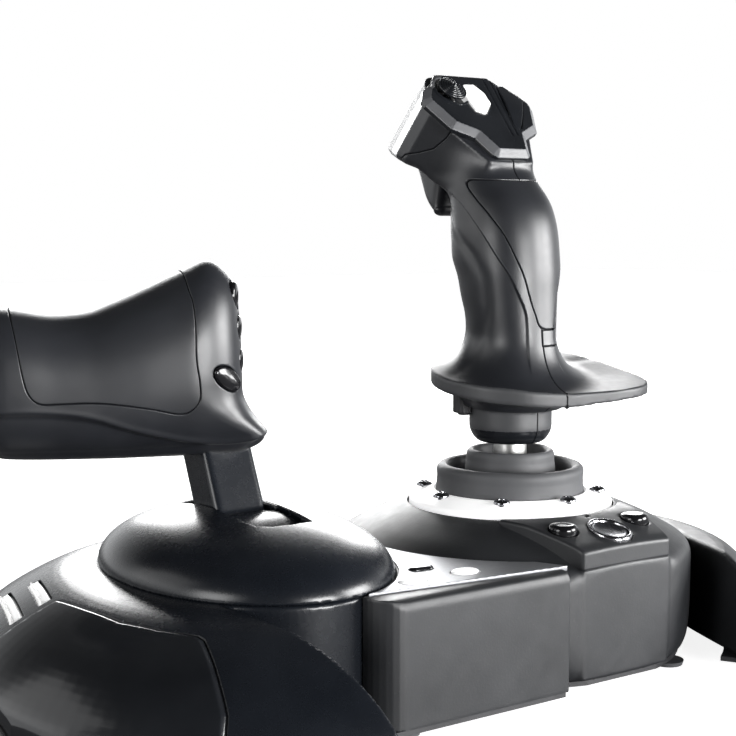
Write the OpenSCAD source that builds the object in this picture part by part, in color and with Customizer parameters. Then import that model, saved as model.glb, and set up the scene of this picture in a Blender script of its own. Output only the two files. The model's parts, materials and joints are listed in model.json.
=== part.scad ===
// Flight joystick with an attached throttle unit. Millimetres, +Z up, +Y away from the pilot,
// +X to the pilot's right. The origin is on the desk under the axis of the stick at rest.
// The throttle stands to the left of the stick, joined to it by a low housing.

/* [Stick base] */
// Radius of the round base at its shoulder
base_radius = 80.5; // [78:0.5:84]
// Distance of the flat front face from the stick axis
front_y = 75.5; // [74:0.5:77]
// Wall thickness of the plastic shells
wall = 2.8; // [2:0.1:3.2]
// Outer radius of the white retaining ring
ring_radius = 46; // [45:0.1:46.3]
// Number of screws in the retaining ring
ring_screw_count = 8; // [4:1:12]

/* [Stick mechanism] */
// Height of the gimbal centre above the desk
pivot_z = 64; // [63.5:0.1:64.5]
// Radius of the steel stick shaft
shaft_radius = 7.4; // [6.5:0.1:8]
// Radius of the gimbal trunnions
trunnion_radius = 2.5; // [2:0.1:2.6]
// Radial running clearance of every pin and shaft
clearance = 0.05; // [0.02:0.01:0.1]
// Number of turns of the centring spring
spring_turns = 6; // [4:1:8]

/* [Grip] */
// Half width of the grip where the palm holds it
grip_half_width = 22; // [20:0.5:23]
// Thickness of the rim of the hand rest
rest_thickness = 5; // [4:0.5:6]

/* [Throttle] */
// Half length of the throttle dome across the base
dome_half_x = 55; // [53:0.5:56]
// Half length of the throttle dome front to back
dome_half_y = 72.5; // [70:0.5:74]
// Height of the dome's rim above the desk
dome_z = 53; // [52:0.5:54]
// Height of the dome above its rim
dome_height = 24; // [22:0.5:25]
// Forward lean of the throttle arm at rest, degrees
arm_lean = 25; // [22:1:27]
// Yaw of the throttle handle, degrees
handle_yaw = 20; // [15:1:25]

/* [Hidden] */
$fn = 48;

body_color = [0.13, 0.135, 0.145];
dark_color = [0.06, 0.06, 0.07];
rubber_color = [0.22, 0.22, 0.23];

shell_z = 4.1;               // underside of the plastic shells
plate_z = 2;                 // underside of the bottom plates
plate_thickness = 2.05;
ring_screw_circle = 39.2;    // radius on which the ring screws stand
round_button_x = 20.3;       // menu and view buttons, either side of the middle
round_button_y = -58.2;
guide_y = -64.6;
lens_y = -50.4;
dial_y = 38;
cable_z = 24;
dome_center = [-135, 5];
rim_sides = 40;              // facets of the throttle base and dome
arm_pivot = [-135, -4, 30];
arm_size = [23, 20];
arm_corner = 4;
axle_radius = 4;
head_origin = [0, 37.2, 258.7];
head_tilt = 44.27;
grip_sides = 28;             // facets around the grip
grip_power = 2.2;            // squareness of its cross-section
trigger_pivot = [0, 50, 219];
trigger_pin_radius = 1.5;
handle_origin = [-118, 15];
handle_sides = 28;           // facets around the handle
handle_shift = -2;           // centre line of the handle in its own y

// ---------- Shared shapes ----------
function superellipse(half_x, half_y, power, count) =
  [for (i = [0:count - 1]) let (t = 360 * i / count, c = cos(t), s = sin(t))
    [half_x * sign(c) * pow(abs(c), 2 / power), half_y * sign(s) * pow(abs(s), 2 / power)]];

// Plan ring raised to height z
function at_z(ring, z, shift_y = 0) = [for (p = ring) [p[0], p[1] + shift_y, z]];

// Closed outline from its +X half
function mirrored(half) =
  concat(half, [for (i = [len(half) - 1:-1:0]) [-half[i][0], half[i][1]]]);

// Point of the dome's rim ellipse at an angle, moved outwards
function rim_point(angle, out) =
  let (nx = cos(angle) / dome_half_x, ny = sin(angle) / dome_half_y, l = sqrt(nx * nx + ny * ny))
  [dome_center[0] + dome_half_x * cos(angle) + out * nx / l,
   dome_center[1] + dome_half_y * sin(angle) + out * ny / l];
function rim_ring(out, count) = [for (i = [0:count - 1]) rim_point(360 * i / count, out)];

// Solid through a list of rings with equal point counts, from first to last
module loft(rings) {
  size = len(rings[0]);
  count = len(rings);
  polyhedron(
    points = [for (ring = rings) each ring],
    faces = concat(
      [[for (i = [0:size - 1]) i]],
      [for (j = [0:count - 2], i = [0:size - 1])
        let (a = j * size + i, b = j * size + (i + 1) % size)
        each [[a, a + size, b + size], [a, b + size, b]]],
      [[for (i = [0:size - 1]) count * size - 1 - i]]));
}

// One faceted solid, evaluated as a whole
module faceted() resize([0, 0, 0]) children();

module tube(inner, outer, height) difference() {
  cylinder(r = outer, h = height);
  translate([0, 0, -1]) cylinder(r = inner, h = height + 2);
}

module rounded_square(x, y, r) {
  square([x - 2 * r, y], center = true);
  square([x, y - 2 * r], center = true);
  for (i = [-1, 1], j = [-1, 1]) translate([i * (x / 2 - r), j * (y / 2 - r)]) circle(r);
}

module oval(length, width) {
  square([length - width, width], center = true);
  for (i = [-1, 1]) translate([i * (length - width) / 2, 0]) circle(width / 2);
}

// Cylinders along X and Y between two coordinates
module cyl_x(radius, from, to)
  translate([from, 0, 0]) rotate([0, 90, 0]) cylinder(r = radius, h = to - from);
module cyl_y(radius, from, to)
  translate([0, from, 0]) rotate([-90, 0, 0]) cylinder(r = radius, h = to - from);

// Prism across the middle plane from an outline in [y, z]
module side_prism(half_width)
  translate([-half_width, 0, 0]) rotate([90, 0, 90]) linear_extrude(2 * half_width) children();

// Pie slice between two angles
module sector_plan(from, to, radius = 160, steps = 6) polygon(concat([[0, 0]],
  [for (i = [0:steps]) let (a = from + (to - from) * i / steps) [radius * cos(a), radius * sin(a)]]));

// Head frame: z square out of the faceplate, y up along it, origin at its top edge
module head_frame() translate(head_origin) rotate([head_tilt, 0, 0]) children();
// Handle frame: x from the thumb end to the far left end, y towards the pilot
module handle_frame()
  translate([handle_origin[0], handle_origin[1], 0]) rotate([0, 0, 180 - handle_yaw]) children();
// Arm frame: z along the throttle arm from its pivot
module arm_frame() translate(arm_pivot) rotate([-arm_lean, 0, 0]) children();

// ---------- Stick base ----------
// Solid of the round base, grown by grow; profile in [radius, z]
module base_outer(grow = 0) rotate_extrude() polygon([
  [0, shell_z - grow], [76.2 + grow, shell_z - grow], [79.2 + grow, 9],
  [base_radius - 0.1 + grow, 20], [base_radius + grow, 43.5],
  [base_radius - 0.7 + grow, 47.2 + grow], [78 + grow, 50 + grow], [73 + grow, 53.2 + grow],
  [65 + grow, 57.2 + grow], [56 + grow, 60.6 + grow], [46.6 + grow, 63.4 + grow],
  [46.6 + grow, 62], [0, 62]]);

// Everything behind the flat front face
module behind_front(inset = 0) translate([-130, -front_y + inset, 0]) cube([260, 260, 80]);

module nose_plan(grow) polygon([
  [-36 - grow, -34], [-24.4 - grow, -front_y - grow + 0.05],
  [24.4 + grow, -front_y - grow + 0.05], [36 + grow, -34]]);

// Cover block on the front of the base, shrunk by inset
module nose_solid(inset = 0) intersection() {
  side_prism(60) polygon([[-90, 50.5], [-90, 58 - inset], [-75.45 + inset, 58.4 - inset],
    [-73, 60.1 - inset], [-66, 62.1 - inset], [-58, 63.9 - inset], [-46.4, 65.2 - inset],
    [-30, 65.2 - inset], [-30, 50.5]]);
  translate([0, 0, 50.5]) linear_extrude(20) difference() {
    nose_plan(-inset);
    circle(r = 47.75 + inset);
  }
}

// Hollow skirt around the right side of the base
module wing() difference() {
  intersection() {
    rotate_extrude() polygon([[79, shell_z], [79, 46.8], [94, 47], [100, 44], [108, 36],
      [114, 26], [117.4, 14], [118, shell_z]]);
    linear_extrude(60) sector_plan(-66, 78);
  }
  translate([0, 0, -1]) linear_extrude(60) polygon([[84, -14], [79.5, -26], [72.8, -37.9],
    [64.3, -61], [57.5, -82], [53, -98], [48, -130], [-30, -130], [-30, -10], [40, -5]]);
  intersection() {
    rotate_extrude() polygon([[96.8, 3], [96.8, 41.9], [98.4, 41.1], [105.6, 33.9],
      [111.2, 24.7], [114.5, 13.5], [115.1, 3]]);
    translate([0, 0, -1]) linear_extrude(60) sector_plan(-46, 76.6);
  }
  intersection() {
    rotate_extrude() polygon([[77, 3], [77, 43.8], [97.4, 43.8], [97.4, 3]]);
    translate([0, 0, -1]) linear_extrude(60) sector_plan(-5, 76.6);
  }
}

module ring_screw_places()
  for (i = [0:ring_screw_count - 1])
    rotate([0, 0, 360 * i / ring_screw_count]) translate([ring_screw_circle, 0, 0]) children();
module ring_screw_holes(radius, height = 30)
  ring_screw_places() translate([0, 0, 50]) cylinder(r = radius, h = height);

module base_shell() color(body_color) difference() {
  union() {
    intersection() {
      base_outer();
      behind_front();
    }
    wing();
  }
  intersection() {
    rotate_extrude() polygon([[0, 3], [73.4, 3], [76.4, 9.5], [77.6, 20], [77.7, 43],
      [75.2, 48.2], [71.6, 50.6], [64, 54.4], [55, 57.7], [47, 59.2], [0, 59.2]]);
    behind_front(wall);
  }
  // Opening under the nose cover
  translate([0, 0, 50.4]) linear_extrude(20) difference() {
    nose_plan(0.06);
    circle(r = 47.6);
  }
  translate([0, 0, 50]) cylinder(r = 33, h = 20);
  ring_screw_holes(1.6, 20);
  translate([0, 0, cable_z]) cyl_y(4.6, 60, 90);
  translate([-34, 66, 24]) cube([13.4, 42, 11], center = true);
}

// Bottom screws in [x, y]
bottom_screw_places = [[56, 44], [-56, 44], [-44, -54], [44, -54],
  [-186, -10], [-186, 60], [-110, 52], [-104, -64]];
module bottom_screw_holes()
  for (p = bottom_screw_places) translate([p[0], p[1], 0]) cylinder(r = 1.7, h = 20);

module clip_ring(inner, outer) difference() {
  translate([0, 0, -1]) cylinder(r = outer, h = 9);
  translate([0, 0, -2]) cylinder(r = inner, h = 12);
}

// Plate under the wing, narrower towards the pilot
module wing_plate() intersection() {
  cylinder(r = 116, h = plate_thickness);
  translate([0, 0, -1]) linear_extrude(20) sector_plan(-58, 78, 260, 8);
  clip_ring(75, 130);
  union() {
    difference() {
      translate([0, 0, -1]) cylinder(r = 140, h = 9);
      translate([0, 0, -2]) linear_extrude(12) sector_plan(-70, -16, 200, 1);
    }
    clip_ring(95.6, 140);
  }
}

module bottom_plates() color(dark_color) difference() {
  translate([0, 0, plate_z]) union() {
    intersection() {
      cylinder(r = 76, h = plate_thickness);
      translate([-130, -73.4, -5]) cube([260, 260, 20]);
    }
    wing_plate();
    // Plate under the throttle, reaching out under the apron
    linear_extrude(plate_thickness) polygon([for (i = [0:47])
      let (t = 60 + 300 * i / 47) rim_point(t, t > 95 && t < 220 ? 56 : -1)]);
    linear_extrude(plate_thickness) difference() {
      link_plan(1);
      circle(r = 79);
    }
  }
  translate([0, dial_y, 0]) cylinder(r = 9.3, h = 20);
  bottom_screw_holes();
}

module bottom_screws() color("silver")
  for (p = bottom_screw_places) translate([p[0], p[1], 0.9]) {
    cylinder(r = 3, h = 1.05);
    cylinder(r = 1.5, h = 8);
  }

// Feet in [x, y, top radius]
feet = [[0, 0, 8], [60, 30, 8], [-58, 26, 8], [-34, -66, 7], [34, -66, 7], [105, 0, 7],
  [78, -74, 6], [55, 88, 7], [-225, 10, 9], [-200, 70, 9], [-188, -60, 8], [-118, 60, 8],
  [-110, -72, 6]];
module rubber_feet() color(dark_color)
  for (p = feet) translate([p[0], p[1], 0]) cylinder(r1 = p[2] - 0.6, r2 = p[2], h = 1.95);

module nose_cover() color(body_color) difference() {
  nose_solid();
  // Hollow, open below
  difference() {
    nose_solid(2.4);
    cylinder(r = 49, h = 90);
  }
  translate([0, 0, 49]) linear_extrude(3) difference() {
    nose_plan(-2.4);
    circle(r = 49);
  }
  for (s = [-1, 1])
    translate([s * round_button_x, round_button_y, 45]) cylinder(r = 6.25, h = 40);
  translate([0, guide_y, 45]) cylinder(r = 9.4, h = 40);
  translate([0, lens_y, 45]) {
    cylinder(r = 1.3, h = 40);
    cylinder(r = 2.2, h = 15.8);
  }
}

module boot_ring() color("white") difference() {
  rotate_extrude() polygon([[34.3, 64.3], [34.3, 69], [36, 69], [45.2, 65.3],
    [ring_radius, 64.5], [ring_radius, 62.1], [45.3, 62.1], [45.3, 64.3]]);
  ring_screw_holes(1.75);
}

module ring_screws() color("silver") ring_screw_places() difference() {
  union() {
    translate([0, 0, 57]) cylinder(r = 1.5, h = 12);
    translate([0, 0, 69.05]) cylinder(r = 3.5, h = 1.1);
    translate([0, 0, 70.1]) cylinder(r1 = 3.4, r2 = 2.4, h = 0.9);
  }
  // Cross recess
  for (a = [0, 90]) rotate([0, 0, a + 20]) translate([-1.9, -0.35, 70]) cube([3.8, 0.7, 2]);
}

module boot_outer() color(rubber_color) difference() {
  rotate_extrude() polygon([[27.5, 62.1], [27.5, 80.4], [28.2, 81.6], [29.6, 82], [31, 81.7],
    [31.9, 80.6], [33.6, 69], [33.7, 64.2], [45.1, 64.2], [45.1, 62.1]]);
  ring_screw_holes(1.75);
}

module ballast_plate() color("dimgray") difference() {
  translate([0, 0, 4.2]) tube(22, 62, 4);
  translate([0, dial_y, 0]) cylinder(r = 12, h = 20);
  bottom_screw_holes();
  translate([-80, -100, 0]) cube([160, 36, 20]);
  translate([-15.5, 46, 0]) cube([31, 36, 20]);
}

board_thickness = 1.6;
// Plain boards: [lowest corner, x size, y size]
boards = [[[-62, -30, 34], 26, 60], [[-176, -30, 10], 16, 60], [[-17, -71, 46], 34, 22]];
module circuit_boards() color("darkgreen") {
  for (b = boards) translate(b[0]) cube([b[1], b[2], board_thickness]);
  // Board in the link housing, trimmed clear of both units
  difference() {
    translate([-112, -74, 42]) cube([40, 34, board_thickness]);
    translate([0, 0, 40]) cylinder(r = 84, h = 9);
    translate([0, 0, 40]) linear_extrude(9) polygon(rim_ring(4.2, 48));
  }
}

module status_lens() color("white") translate([0, lens_y, 60]) {
  cylinder(r = 1.2, h = 4.6);
  translate([0, 0, -1]) cylinder(r = 2, h = 1.4);
}

module guide_ring() color("silver") translate([0, guide_y, 59]) tube(7.9, 9.3, 5.2);

module cable_grommet() color(dark_color) translate([0, 0, cable_z]) difference() {
  // Steps as [radius, from, to]
  union() for (s = [[4.5, 74, 80.8], [6.5, 80.75, 82.95], [3.9, 82.9, 91.9], [6.5, 73.2, 75.72]])
    cyl_y(s[0], s[1], s[2]);
  cyl_y(2.3, 60, 99);
}

module cable_plug() {
  rotate([0, 90, 0]) cylinder(r = 2.2, h = 2);
  translate([1.9, -8, -4.5]) cube([24, 16, 9]);
  translate([25.8, -6, -2.25]) cube([18, 12, 4.5]);
}

module usb_cable() color(dark_color) translate([0, 0, cable_z]) {
  cyl_y(2.2, 66, 112);
  translate([0, 112, 0]) rotate([0, 0, 90]) cable_plug();
}

module pedal_port() color("dimgray") difference() {
  translate([-40.5, 62, 18.7]) cube([13, 13.4, 10.6]);
  translate([-38.9, 66, 20.5]) cube([9.8, 14, 7]);
}

// Button with a chamfered cap
module capped_button(place, radius, bottom, top, cap_bottom, cap_top) translate(place) {
  translate([0, 0, bottom]) cylinder(r = radius, h = top - bottom);
  translate([0, 0, top - 0.05]) cylinder(r1 = cap_bottom, r2 = cap_top, h = 0.8);
}
module round_button(side)
  capped_button([side * round_button_x, round_button_y, 0], 6, 57.6, 65.4, 5.6, 4);
module menu_button() color(dark_color) round_button(-1);
module view_button() color(dark_color) round_button(1);
module guide_button() color("silver") capped_button([0, guide_y, 0], 7.7, 57.4, 63, 7, 5);

module tension_dial() color(dark_color) translate([0, dial_y, 0]) difference() {
  union() {
    translate([0, 0, 1.2]) cylinder(r = 9, h = 4);
    translate([0, 0, 5]) cylinder(r = 11, h = 3);
  }
  for (i = [0:11]) rotate([0, 0, 30 * i]) translate([9.4, 0, 0]) cylinder(r = 1, h = 4.9);
  translate([-5, -0.8, 0]) cube([10, 1.6, 2.4]);
}

// ---------- Link between the two units ----------
link_roof_z = 50.4;          // underside of the housing's top wall
link_wall_height = 49.1;

module link_plan(inset = 0) difference() {
  polygon([[-126 + inset, -80.3 + inset], [-35.7 - inset, -80.3 + inset], [-35.7 - inset, -50],
    [-70, 3], [-90, 12], [-126 + inset, -40]]);
  circle(r = 81 + inset, $fn = 96);
  polygon(rim_ring(0.4 + inset, 64));
}

module link_roof_plan() difference() {
  polygon([[-126, -80.3], [-35.7, -80.3], [-35.7, -62], [-70.5, -24], [-76, -1], [-90, 12],
    [-126, -40]]);
  polygon(rim_ring(0.4, 64));
}

// Buttons on the panel: [x, y, length, width]
panel_buttons = [[-84.6, -47.1, 10.5, 5], [-99, -61.5, 11.5, 8], [-73.5, -60.7, 11.5, 8]];
module panel_button_plan(i, grow = 0) {
  b = panel_buttons[i];
  translate([b[0], b[1]]) rotate(-6) oval(b[2] + 2 * grow, b[3] + 2 * grow);
}
module panel_holes()
  for (i = [0:2]) translate([0, 0, 40]) linear_extrude(30) panel_button_plan(i, 0.2);

module link_housing() color(body_color) difference() {
  union() {
    difference() {
      translate([0, 0, shell_z]) linear_extrude(link_wall_height) link_plan();
      translate([0, 0, 3]) linear_extrude(link_roof_z - 3) link_plan(wall);
    }
    translate([0, 0, link_roof_z]) linear_extrude(wall) link_roof_plan();
  }
  base_outer(0.25);
  translate([0, 0, 49]) linear_extrude(20) nose_plan(0.3);
  panel_holes();
}

module link_panel() color("silver") difference() {
  translate([0, 0, 53.25]) linear_extrude(0.8) difference() {
    polygon([[-124, -67], [-33, -76], [-40, -62], [-74, -2]]);
    polygon(rim_ring(1.2, 64));
    circle(r = 74.6, $fn = 96);
  }
  panel_holes();
}

// Button with a flange under the housing's top wall
module panel_button(i) {
  translate([0, 0, 47.5]) linear_extrude(1.6) difference() {
    panel_button_plan(i, 1.2);
    polygon(rim_ring(3.7, 64));
  }
  translate([0, 0, 49]) linear_extrude(6.2) panel_button_plan(i);
}
module mode_button() color(dark_color) panel_button(0);
module oval_button_left() color("white") panel_button(1);
module oval_button_right() color("white") panel_button(2);

// ---------- Throttle base ----------
// Sloping skirt of the throttle: [distance outside the dome's rim, z]
apron_sections = [[59.5, shell_z], [61.5, 12], [56, 24], [42, 37], [21, 48], [-1, 52.8]];
module apron_loft(grow) loft([for (s = apron_sections)
  at_z(rim_ring(s[0] + grow * 0.9, rim_sides), s[1] + (s[1] > 5 ? grow * 0.7 : 0))]);
module apron_skin(inner, outer) difference() {
  apron_loft(outer);
  apron_loft(inner);
}

// The part of the plan that the apron covers, on the left of the dome
module apron_extent(inset = 0) linear_extrude(90) polygon([[-178 - inset, -31],
  [-157 - inset, -97], [-145 - inset, -140], [-300, -140], [-300, 150], [-112 - inset, 150],
  [-112 - inset, 60], [-135, 5]]);

// Slots in the apron: [x, y, length]
slots = [[-211, 32, 30], [-221, 38, 38]];
slot_width = 4.4;
module slot_prism(slot, grow = 0)
  translate([slot[0], slot[1], 20]) rotate([0, 0, -14.2]) linear_extrude(60)
    square([slot_width + 2 * grow, slot[2] + 2 * grow], center = true);

module throttle_base_shell() color(body_color) difference() {
  faceted() difference() {
    union() {
      intersection() {
        apron_loft(0);
        apron_extent();
      }
      translate([0, 0, shell_z]) linear_extrude(dome_z - shell_z) polygon(rim_ring(0, rim_sides));
    }
    intersection() {
      translate([0, 0, -3]) apron_loft(-2.6);
      translate([0, 0, -5]) apron_extent(wall);
    }
    translate([0, 0, -1]) linear_extrude(90) polygon(rim_ring(-3, rim_sides));
    for (slot = slots) intersection() {
      apron_skin(-1.65, 3);
      slot_prism(slot, 0.3);
    }
  }
  cylinder(r = base_radius + 0.3, h = 60);
}

module slot_inlays() color("silver") faceted() for (slot = slots) intersection() {
  apron_skin(-1.5, -0.1);
  slot_prism(slot);
}

module front_plate() color(dark_color) faceted() intersection() {
  apron_skin(0.1, 1.6);
  translate([0, 0, 20]) linear_extrude(60) polygon([[-212, 6], [-203, -25], [-189, -58],
    [-193, -88], [-226, -66], [-240, -25], [-238, 8]]);
}

dome_steps = 7;
module dome_loft(inset, drop) loft([for (j = [0:dome_steps])
  let (p = 90 * j / dome_steps, c = max(cos(p), 0.02))
  [for (i = [0:rim_sides - 1]) let (t = 360 * i / rim_sides)
    [dome_center[0] + (dome_half_x - inset) * c * cos(t),
     dome_center[1] + (dome_half_y - inset) * c * sin(t),
     dome_z + 0.1 + (dome_height - drop) * sin(p)]]]);
module throttle_dome() color(body_color) faceted() difference() {
  dome_loft(0.2, 0);
  translate([0, 0, -0.2]) dome_loft(3, 2.4);
  // Slot for the arm
  translate([arm_pivot[0] - 12, -27, 50]) cube([24, 61.5, 60]);
}

// Cylinder on the throttle axle's line
module on_axle(radius, from, to)
  translate([0, arm_pivot[1], arm_pivot[2]]) cyl_x(radius, from, to);

module throttle_bracket() color("darkgray") difference() {
  for (x = [-20, 16]) translate([arm_pivot[0] + x, 0, 0]) {
    translate([0, -22, 4.2]) cube([4, 36, 28]);
    translate([0, -13, 20]) cube([4, 18, 20]);
    translate([x < 0 ? -10 : 0, -22, 4.2]) cube([14, 36, 3]);
  }
  on_axle(axle_radius + clearance, -160, -110);
}

module throttle_axle() color("silver") on_axle(axle_radius, arm_pivot[0] - 21, arm_pivot[0] + 22);

module position_sensors() color("royalblue") {
  translate([35, -5, 45.8]) cube([7, 10, 10]);
  translate(arm_pivot + [-27.5, -8, -8]) cube([6, 16, 16]);
}

// ---------- Gimbal and shaft ----------
spring_radius = 17;
spring_wire_radius = 1.2;
spring_bottom = 5.6;
spring_rise = 46.2;
module centring_spring() color("silver") faceted() {
  turn_steps = 14;
  wire_sides = 6;
  steps = spring_turns * turn_steps;
  loft([for (j = [0:steps])
    let (a = 360 * j / turn_steps, z = spring_bottom + spring_rise * j / steps)
    [for (i = [0:wire_sides - 1])
      let (t = 360 * i / wire_sides, r = spring_radius + spring_wire_radius * cos(t))
      [r * cos(a), r * sin(a), z + spring_wire_radius * sin(t)]]]);
}

gimbal_half_height = 3.6;
cup_z = 54;                  // foot of the posts that carry the gimbal
module gimbal_frame() color("darkgray") difference() {
  union() {
    rotate_extrude() polygon([[14.5, 53.4], [34, 53.4], [34, 56], [43.5, 56], [43.5, 59.1],
      [31.5, 59.1], [31.5, 54.8], [14.5, 54.8]]);
    for (s = [-1, 1]) {
      translate([s * 23.55 - 3.05, -5.5, cup_z])
        cube([6.1, 11, pivot_z + gimbal_half_height - cup_z]);
      translate([s * 28.5 - 4, -5.5, cup_z]) cube([8, 11, 5.1]);
    }
  }
  translate([0, 0, pivot_z]) cyl_x(trunnion_radius + clearance, -60, 60);
  ring_screw_holes(1.55);
}

module gimbal_ring() color("gainsboro") difference() {
  union() {
    translate([0, 0, pivot_z - gimbal_half_height]) cylinder(r = 18.5, h = 2 * gimbal_half_height);
    translate([0, 0, pivot_z]) cyl_x(trunnion_radius, -26.4, 26.4);
  }
  translate([0, 0, pivot_z - 10]) cylinder(r = 12.5, h = 20);
  translate([0, 0, pivot_z]) cyl_y(trunnion_radius + clearance, -30, 30);
}

module stick_shaft() color("silver") union() {
  translate([0, 0, pivot_z - 7]) cylinder(r = 8.6, h = 14);
  translate([0, 0, pivot_z]) cyl_y(trunnion_radius, -18.2, 18.2);
  translate([0, 0, 36]) cylinder(r = 5, h = pivot_z - 40);
  translate([0, 0, pivot_z + 5]) cylinder(r = shaft_radius, h = 124 - pivot_z);
}

module boot_inner() color(rubber_color) rotate_extrude() polygon([
  [shaft_radius + 0.02, 77.2], [shaft_radius + 0.02, 80], [15.2, 80.4], [16, 87.4],
  [16.9, 88.3], [17.8, 88.5], [18.8, 88], [19.4, 87], [20.3, 76.6], [18.6, 76.6], [18.2, 77.2]]);

// ---------- Grip ----------
// Sections of the grip: [z, y of the centre, half width in x, half depth in y]
grip_sections = [[112.2, 0, 18.4, 18.4], [122, 0, 22, 24.5], [130, 0.2, 19.8, 22.3],
  [139, 0.4, 18.6, 21.3], [148, 0.5, 19.5, 20.7], [157, 2, 20.5, 22], [166, 2.9, 21.3, 23],
  [175, 5.4, grip_half_width, 25.4], [184, 5.9, grip_half_width, 24.6],
  [192.6, 7.3, 21.3, 24.2], [199, 9.2, 20.8, 24], [206, 13.4, 20, 20.6], [216, 20, 19, 16]];
module grip_loft(grow) loft([for (s = grip_sections)
  at_z(superellipse(s[2] + grow, s[3] + grow, grip_power, grip_sides), s[0], s[1])]);

// Outline of the hand rest: [angle, radius]
rest_outline = [[0, 50], [20, 46], [40, 41], [65, 37.5], [90, 36], [120, 35.5], [150, 35.5],
  [180, 34.5], [210, 34], [240, 35], [270, 37.4], [290, 42], [305, 50], [318, 58.5],
  [328, 61.8], [338, 58.8], [350, 53]];
// Slab sheared upwards towards +X and +Y
module hand_rest() intersection() {
  linear_extrude(160) polygon([for (p = rest_outline) [p[1] * cos(p[0]), p[1] * sin(p[0])]]);
  multmatrix([[1, 0, 0, 0], [0, 1, 0, 0],
              [0.094, 0.148, 1, 118.8 - rest_thickness / 2], [0, 0, 0, 1]])
    translate([0, 0, rest_thickness / 2]) cube([200, 200, rest_thickness], center = true);
}

module grip_body() {
  translate([0, 0, 97]) cylinder(r = 18.5, h = 22);
  translate([0, 0, 92]) cylinder(r1 = 14.7, r2 = 18.5, h = 5.01);
  hand_rest();
  grip_loft(0);
}

// Side view in [y, z] of the region that the palm pad fills
module pad_region(grow) side_prism(40) offset(delta = grow) polygon([[-60, 207], [7, 207],
  [9, 205], [3, 200], [-4, 194], [-9, 183], [-13, 172], [-17, 155], [-19, 146], [-60, 145]]);

// Side view of the trigger in [y, z]
trigger_outline = [[64, 222.2], [58, 217.6], [51.9, 213.8], [48.6, 208], [46.2, 202.2],
  [42, 198], [39.6, 202], [37.6, 207.7], [36.4, 211.5], [33, 215], [28.7, 217], [27, 222.2]];
module trigger_prism(grow, half_width)
  side_prism(half_width) offset(delta = grow) polygon(trigger_outline);
// Space that the trigger sweeps when pulled
module trigger_room()
  for (a = [0, 4, 8])
    translate(trigger_pivot) rotate([-a, 0, 0]) translate(-trigger_pivot) trigger_prism(0.9, 8.6);

// Passage between the grip and the head, its centre moving to y = 20 at the top
module neck_passage(half_x, half_y, bottom, height, bottom_y) {
  ring = superellipse(half_x, half_y, grip_power, grip_sides);
  translate([0, 0, bottom]) loft([at_z(ring, 0, bottom_y), at_z(ring, height, 20)]);
}

// Screws that join the halves: [y, z]
grip_screw_places = [[10, 135], [0, 160], [16, 185], [20, 203]];
module at_grip_screws() for (p = grip_screw_places) translate([0, p[0], p[1]]) children();
module lock_place() rotate([0, 0, 150]) translate([21.2, 0, 105.5]) children();

// Half of the grip on side -1 (left) or 1 (right)
module grip_half(side) difference() {
  faceted() difference() {
    intersection() {
      grip_body();
      translate([side > 0 ? 0.03 : -100.03, -100, 0]) cube([100, 200, 215.9]);
    }
    difference() {
      pad_region(0.1);
      grip_loft(-1.9);
    }
    difference() {
      grip_loft(-3.4);
      translate([-50, -50, 0]) cube([100, 100, 129]);
    }
    neck_passage(14, 10.5, 210, 12, 17);
    trigger_room();
    translate([0, 0, 97.8]) cylinder(r = 11.15, h = 34);
    translate([0, 0, 80]) cylinder(r = 8.3, h = 30);
    at_grip_screws() {
      cyl_x(1.65, -40, 40);
      cyl_x(3.2, 8, 40);
    }
    lock_place() translate([0, 0, -1.2]) cylinder(r = 5.3, h = 9.4);
  }
}
module grip_left() color(body_color) grip_half(-1);
module grip_right() color(body_color) grip_half(1);

module palm_pad() color(dark_color) faceted() difference() {
  intersection() {
    grip_loft(0);
    pad_region(-0.15);
  }
  grip_loft(-1.8);
}

module grip_screws() color("silver") at_grip_screws() {
  cyl_x(1.5, -10, 10.5);
  cyl_x(2.9, 8.1, 10.4);
}

module twist_bush() color("goldenrod")
  translate([0, 0, 98]) tube(shaft_radius + clearance, 11, 28);

module twist_lock() color(dark_color) lock_place() union() {
  cylinder(r = 4.9, h = 7.6);
  translate([0, 0, -0.9]) cylinder(r = 3, h = 1.2);
}

module trigger_pin() color("silver")
  translate(trigger_pivot) cyl_x(trigger_pin_radius, -11.6, 11.6);

module trigger() color(dark_color) difference() {
  trigger_prism(0, 7.8);
  translate(trigger_pivot) cyl_x(trigger_pin_radius + clearance, -30, 30);
}

// ---------- Head ----------
// Right halves of the faceplate and of the shell below it, [x, y] in the head frame
faceplate_half = [[14.5, 0], [20, -6.6], [27, -12], [31, -18.6], [31, -22.5], [24.6, -37.5],
  [14.6, -43], [10.6, -53.6], [8.6, -55.4]];
head_half = [[10, 8], [17, 2], [21, -6], [27.5, -17], [27.5, -24], [22, -37], [18.4, -44],
  [12, -56]];
module faceplate_plan(grow = 0) offset(delta = grow) polygon(mirrored(faceplate_half));
module head_plan(grow) offset(delta = grow) polygon(mirrored(head_half));

// Side view of the head in [y, z]
head_side = [[-1.5, 216.15], [-6.5, 219.5], [36.5, 259.5], [52, 250.8], [66, 238.5],
  [74, 230.5], [75.6, 227.6], [73, 223.6], [66, 221.2], [52, 218.6], [40, 216.15]];
module head_solid(grow = 0) intersection() {
  head_frame() translate([0, 0, -60]) linear_extrude(60 - 5.1 - grow * 0.8) head_plan(grow);
  side_prism(50) offset(delta = grow) polygon(head_side);
}

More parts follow.
